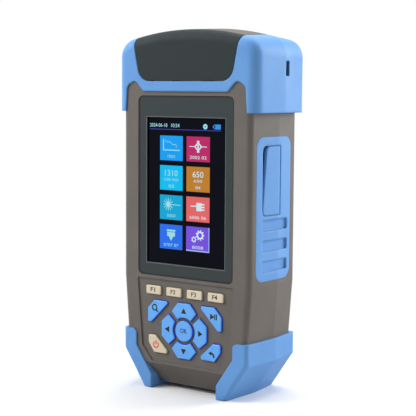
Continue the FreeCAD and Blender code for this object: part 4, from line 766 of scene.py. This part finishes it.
def makeWorld():
    # white where the backdrop is seen past the object, and soft grey light for all else
    world = bpy.data.worlds.new("studioWorld")
    bpy.context.scene.world = world
    world.use_nodes = True
    tree = world.node_tree
    tree.nodes.clear()
    path = addNode(tree, "ShaderNodeLightPath", {})
    soft = addNode(tree, "ShaderNodeBackground", {"Color": (1, 1, 1, 1),
                                                  "Strength": studio["softWorld"]})
    white = addNode(tree, "ShaderNodeBackground", {"Color": (1, 1, 1, 1),
                                                   "Strength": studio["whiteWorld"]})
    mix = addNode(tree, "ShaderNodeMixShader", {}, {0: shownRays(tree, path), 1: soft.outputs[0],
                                                   2: white.outputs[0]})
    addNode(tree, "ShaderNodeOutputWorld", {}, {"Surface": mix.outputs[0]})


def makeFloor():
    # pale matt floor that keeps the shadow near the object and fades to white further out
    material, tree, place = startMaterial("paperFloor")
    path = addNode(tree, "ShaderNodeLightPath", {})
    away = addNode(tree, "ShaderNodeVectorMath", {"operation": "LENGTH"}, {0: place})
    fade = addNode(tree, "ShaderNodeMapRange", {"From Min": studio["fade"][0],
                                                "From Max": studio["fade"][1]},
                   {"Value": away.outputs["Value"]})
    fade.interpolation_type = "SMOOTHSTEP"
    seen = addNode(tree, "ShaderNodeMath", {"operation": "MULTIPLY"},
                   {0: shownRays(tree, path), 1: fade.outputs["Result"]})
    # the object gets less of it back than the camera, as from a floor that ends close by
    tone = addNode(tree, "ShaderNodeValToRGB", {}, {"Fac": path.outputs["Is Camera Ray"]})
    for element, shade in zip(tone.color_ramp.elements, studio["floorTones"]):
        element.color = paint(shade)
    paper = addNode(tree, "ShaderNodeBsdfPrincipled", {"Roughness": 0.9},
                    {"Base Color": tone.outputs["Color"]})
    white = addNode(tree, "ShaderNodeEmission", {"Color": (1, 1, 1, 1),
                                                 "Strength": studio["whiteWorld"]})
    mix = addNode(tree, "ShaderNodeMixShader", {}, {0: seen.outputs[0], 1: paper.outputs[0],
                                                   2: white.outputs[0]})
    closeMaterial(tree, mix)
    bm = bmesh.new()
    bmesh.ops.create_circle(bm, cap_ends=True, segments=64, radius=studio["floorRadius"])
    mesh = bpy.data.meshes.new("floor")
    bm.to_mesh(mesh)
    bm.free()
    mesh.materials.append(material)
    floor = bpy.data.objects.new("floor", mesh)
    bpy.context.scene.collection.objects.link(floor)


makeCamera()
makeWorld()
makeFloor()
lamps = {                       # place, side of the square panel, watts
    "leftSoftbox": ((-0.784, -0.658, 0.82), 0.8, 14),
    "rightSoftbox": ((0.67, 0.96, 0.5), 0.7, 12.3),
    "fillSoftbox": ((1.15, -0.31, 0.27), 0.8, 1.3),
    "topSoftbox": ((0.0, 0.3, 1.15), 0.9, 10),
}
for name, (place, width, power) in lamps.items():
    softLight(name, place, studio["aim"], width, power)
bpy.context.scene.view_settings.view_transform = "Standard"
print("studio ready")
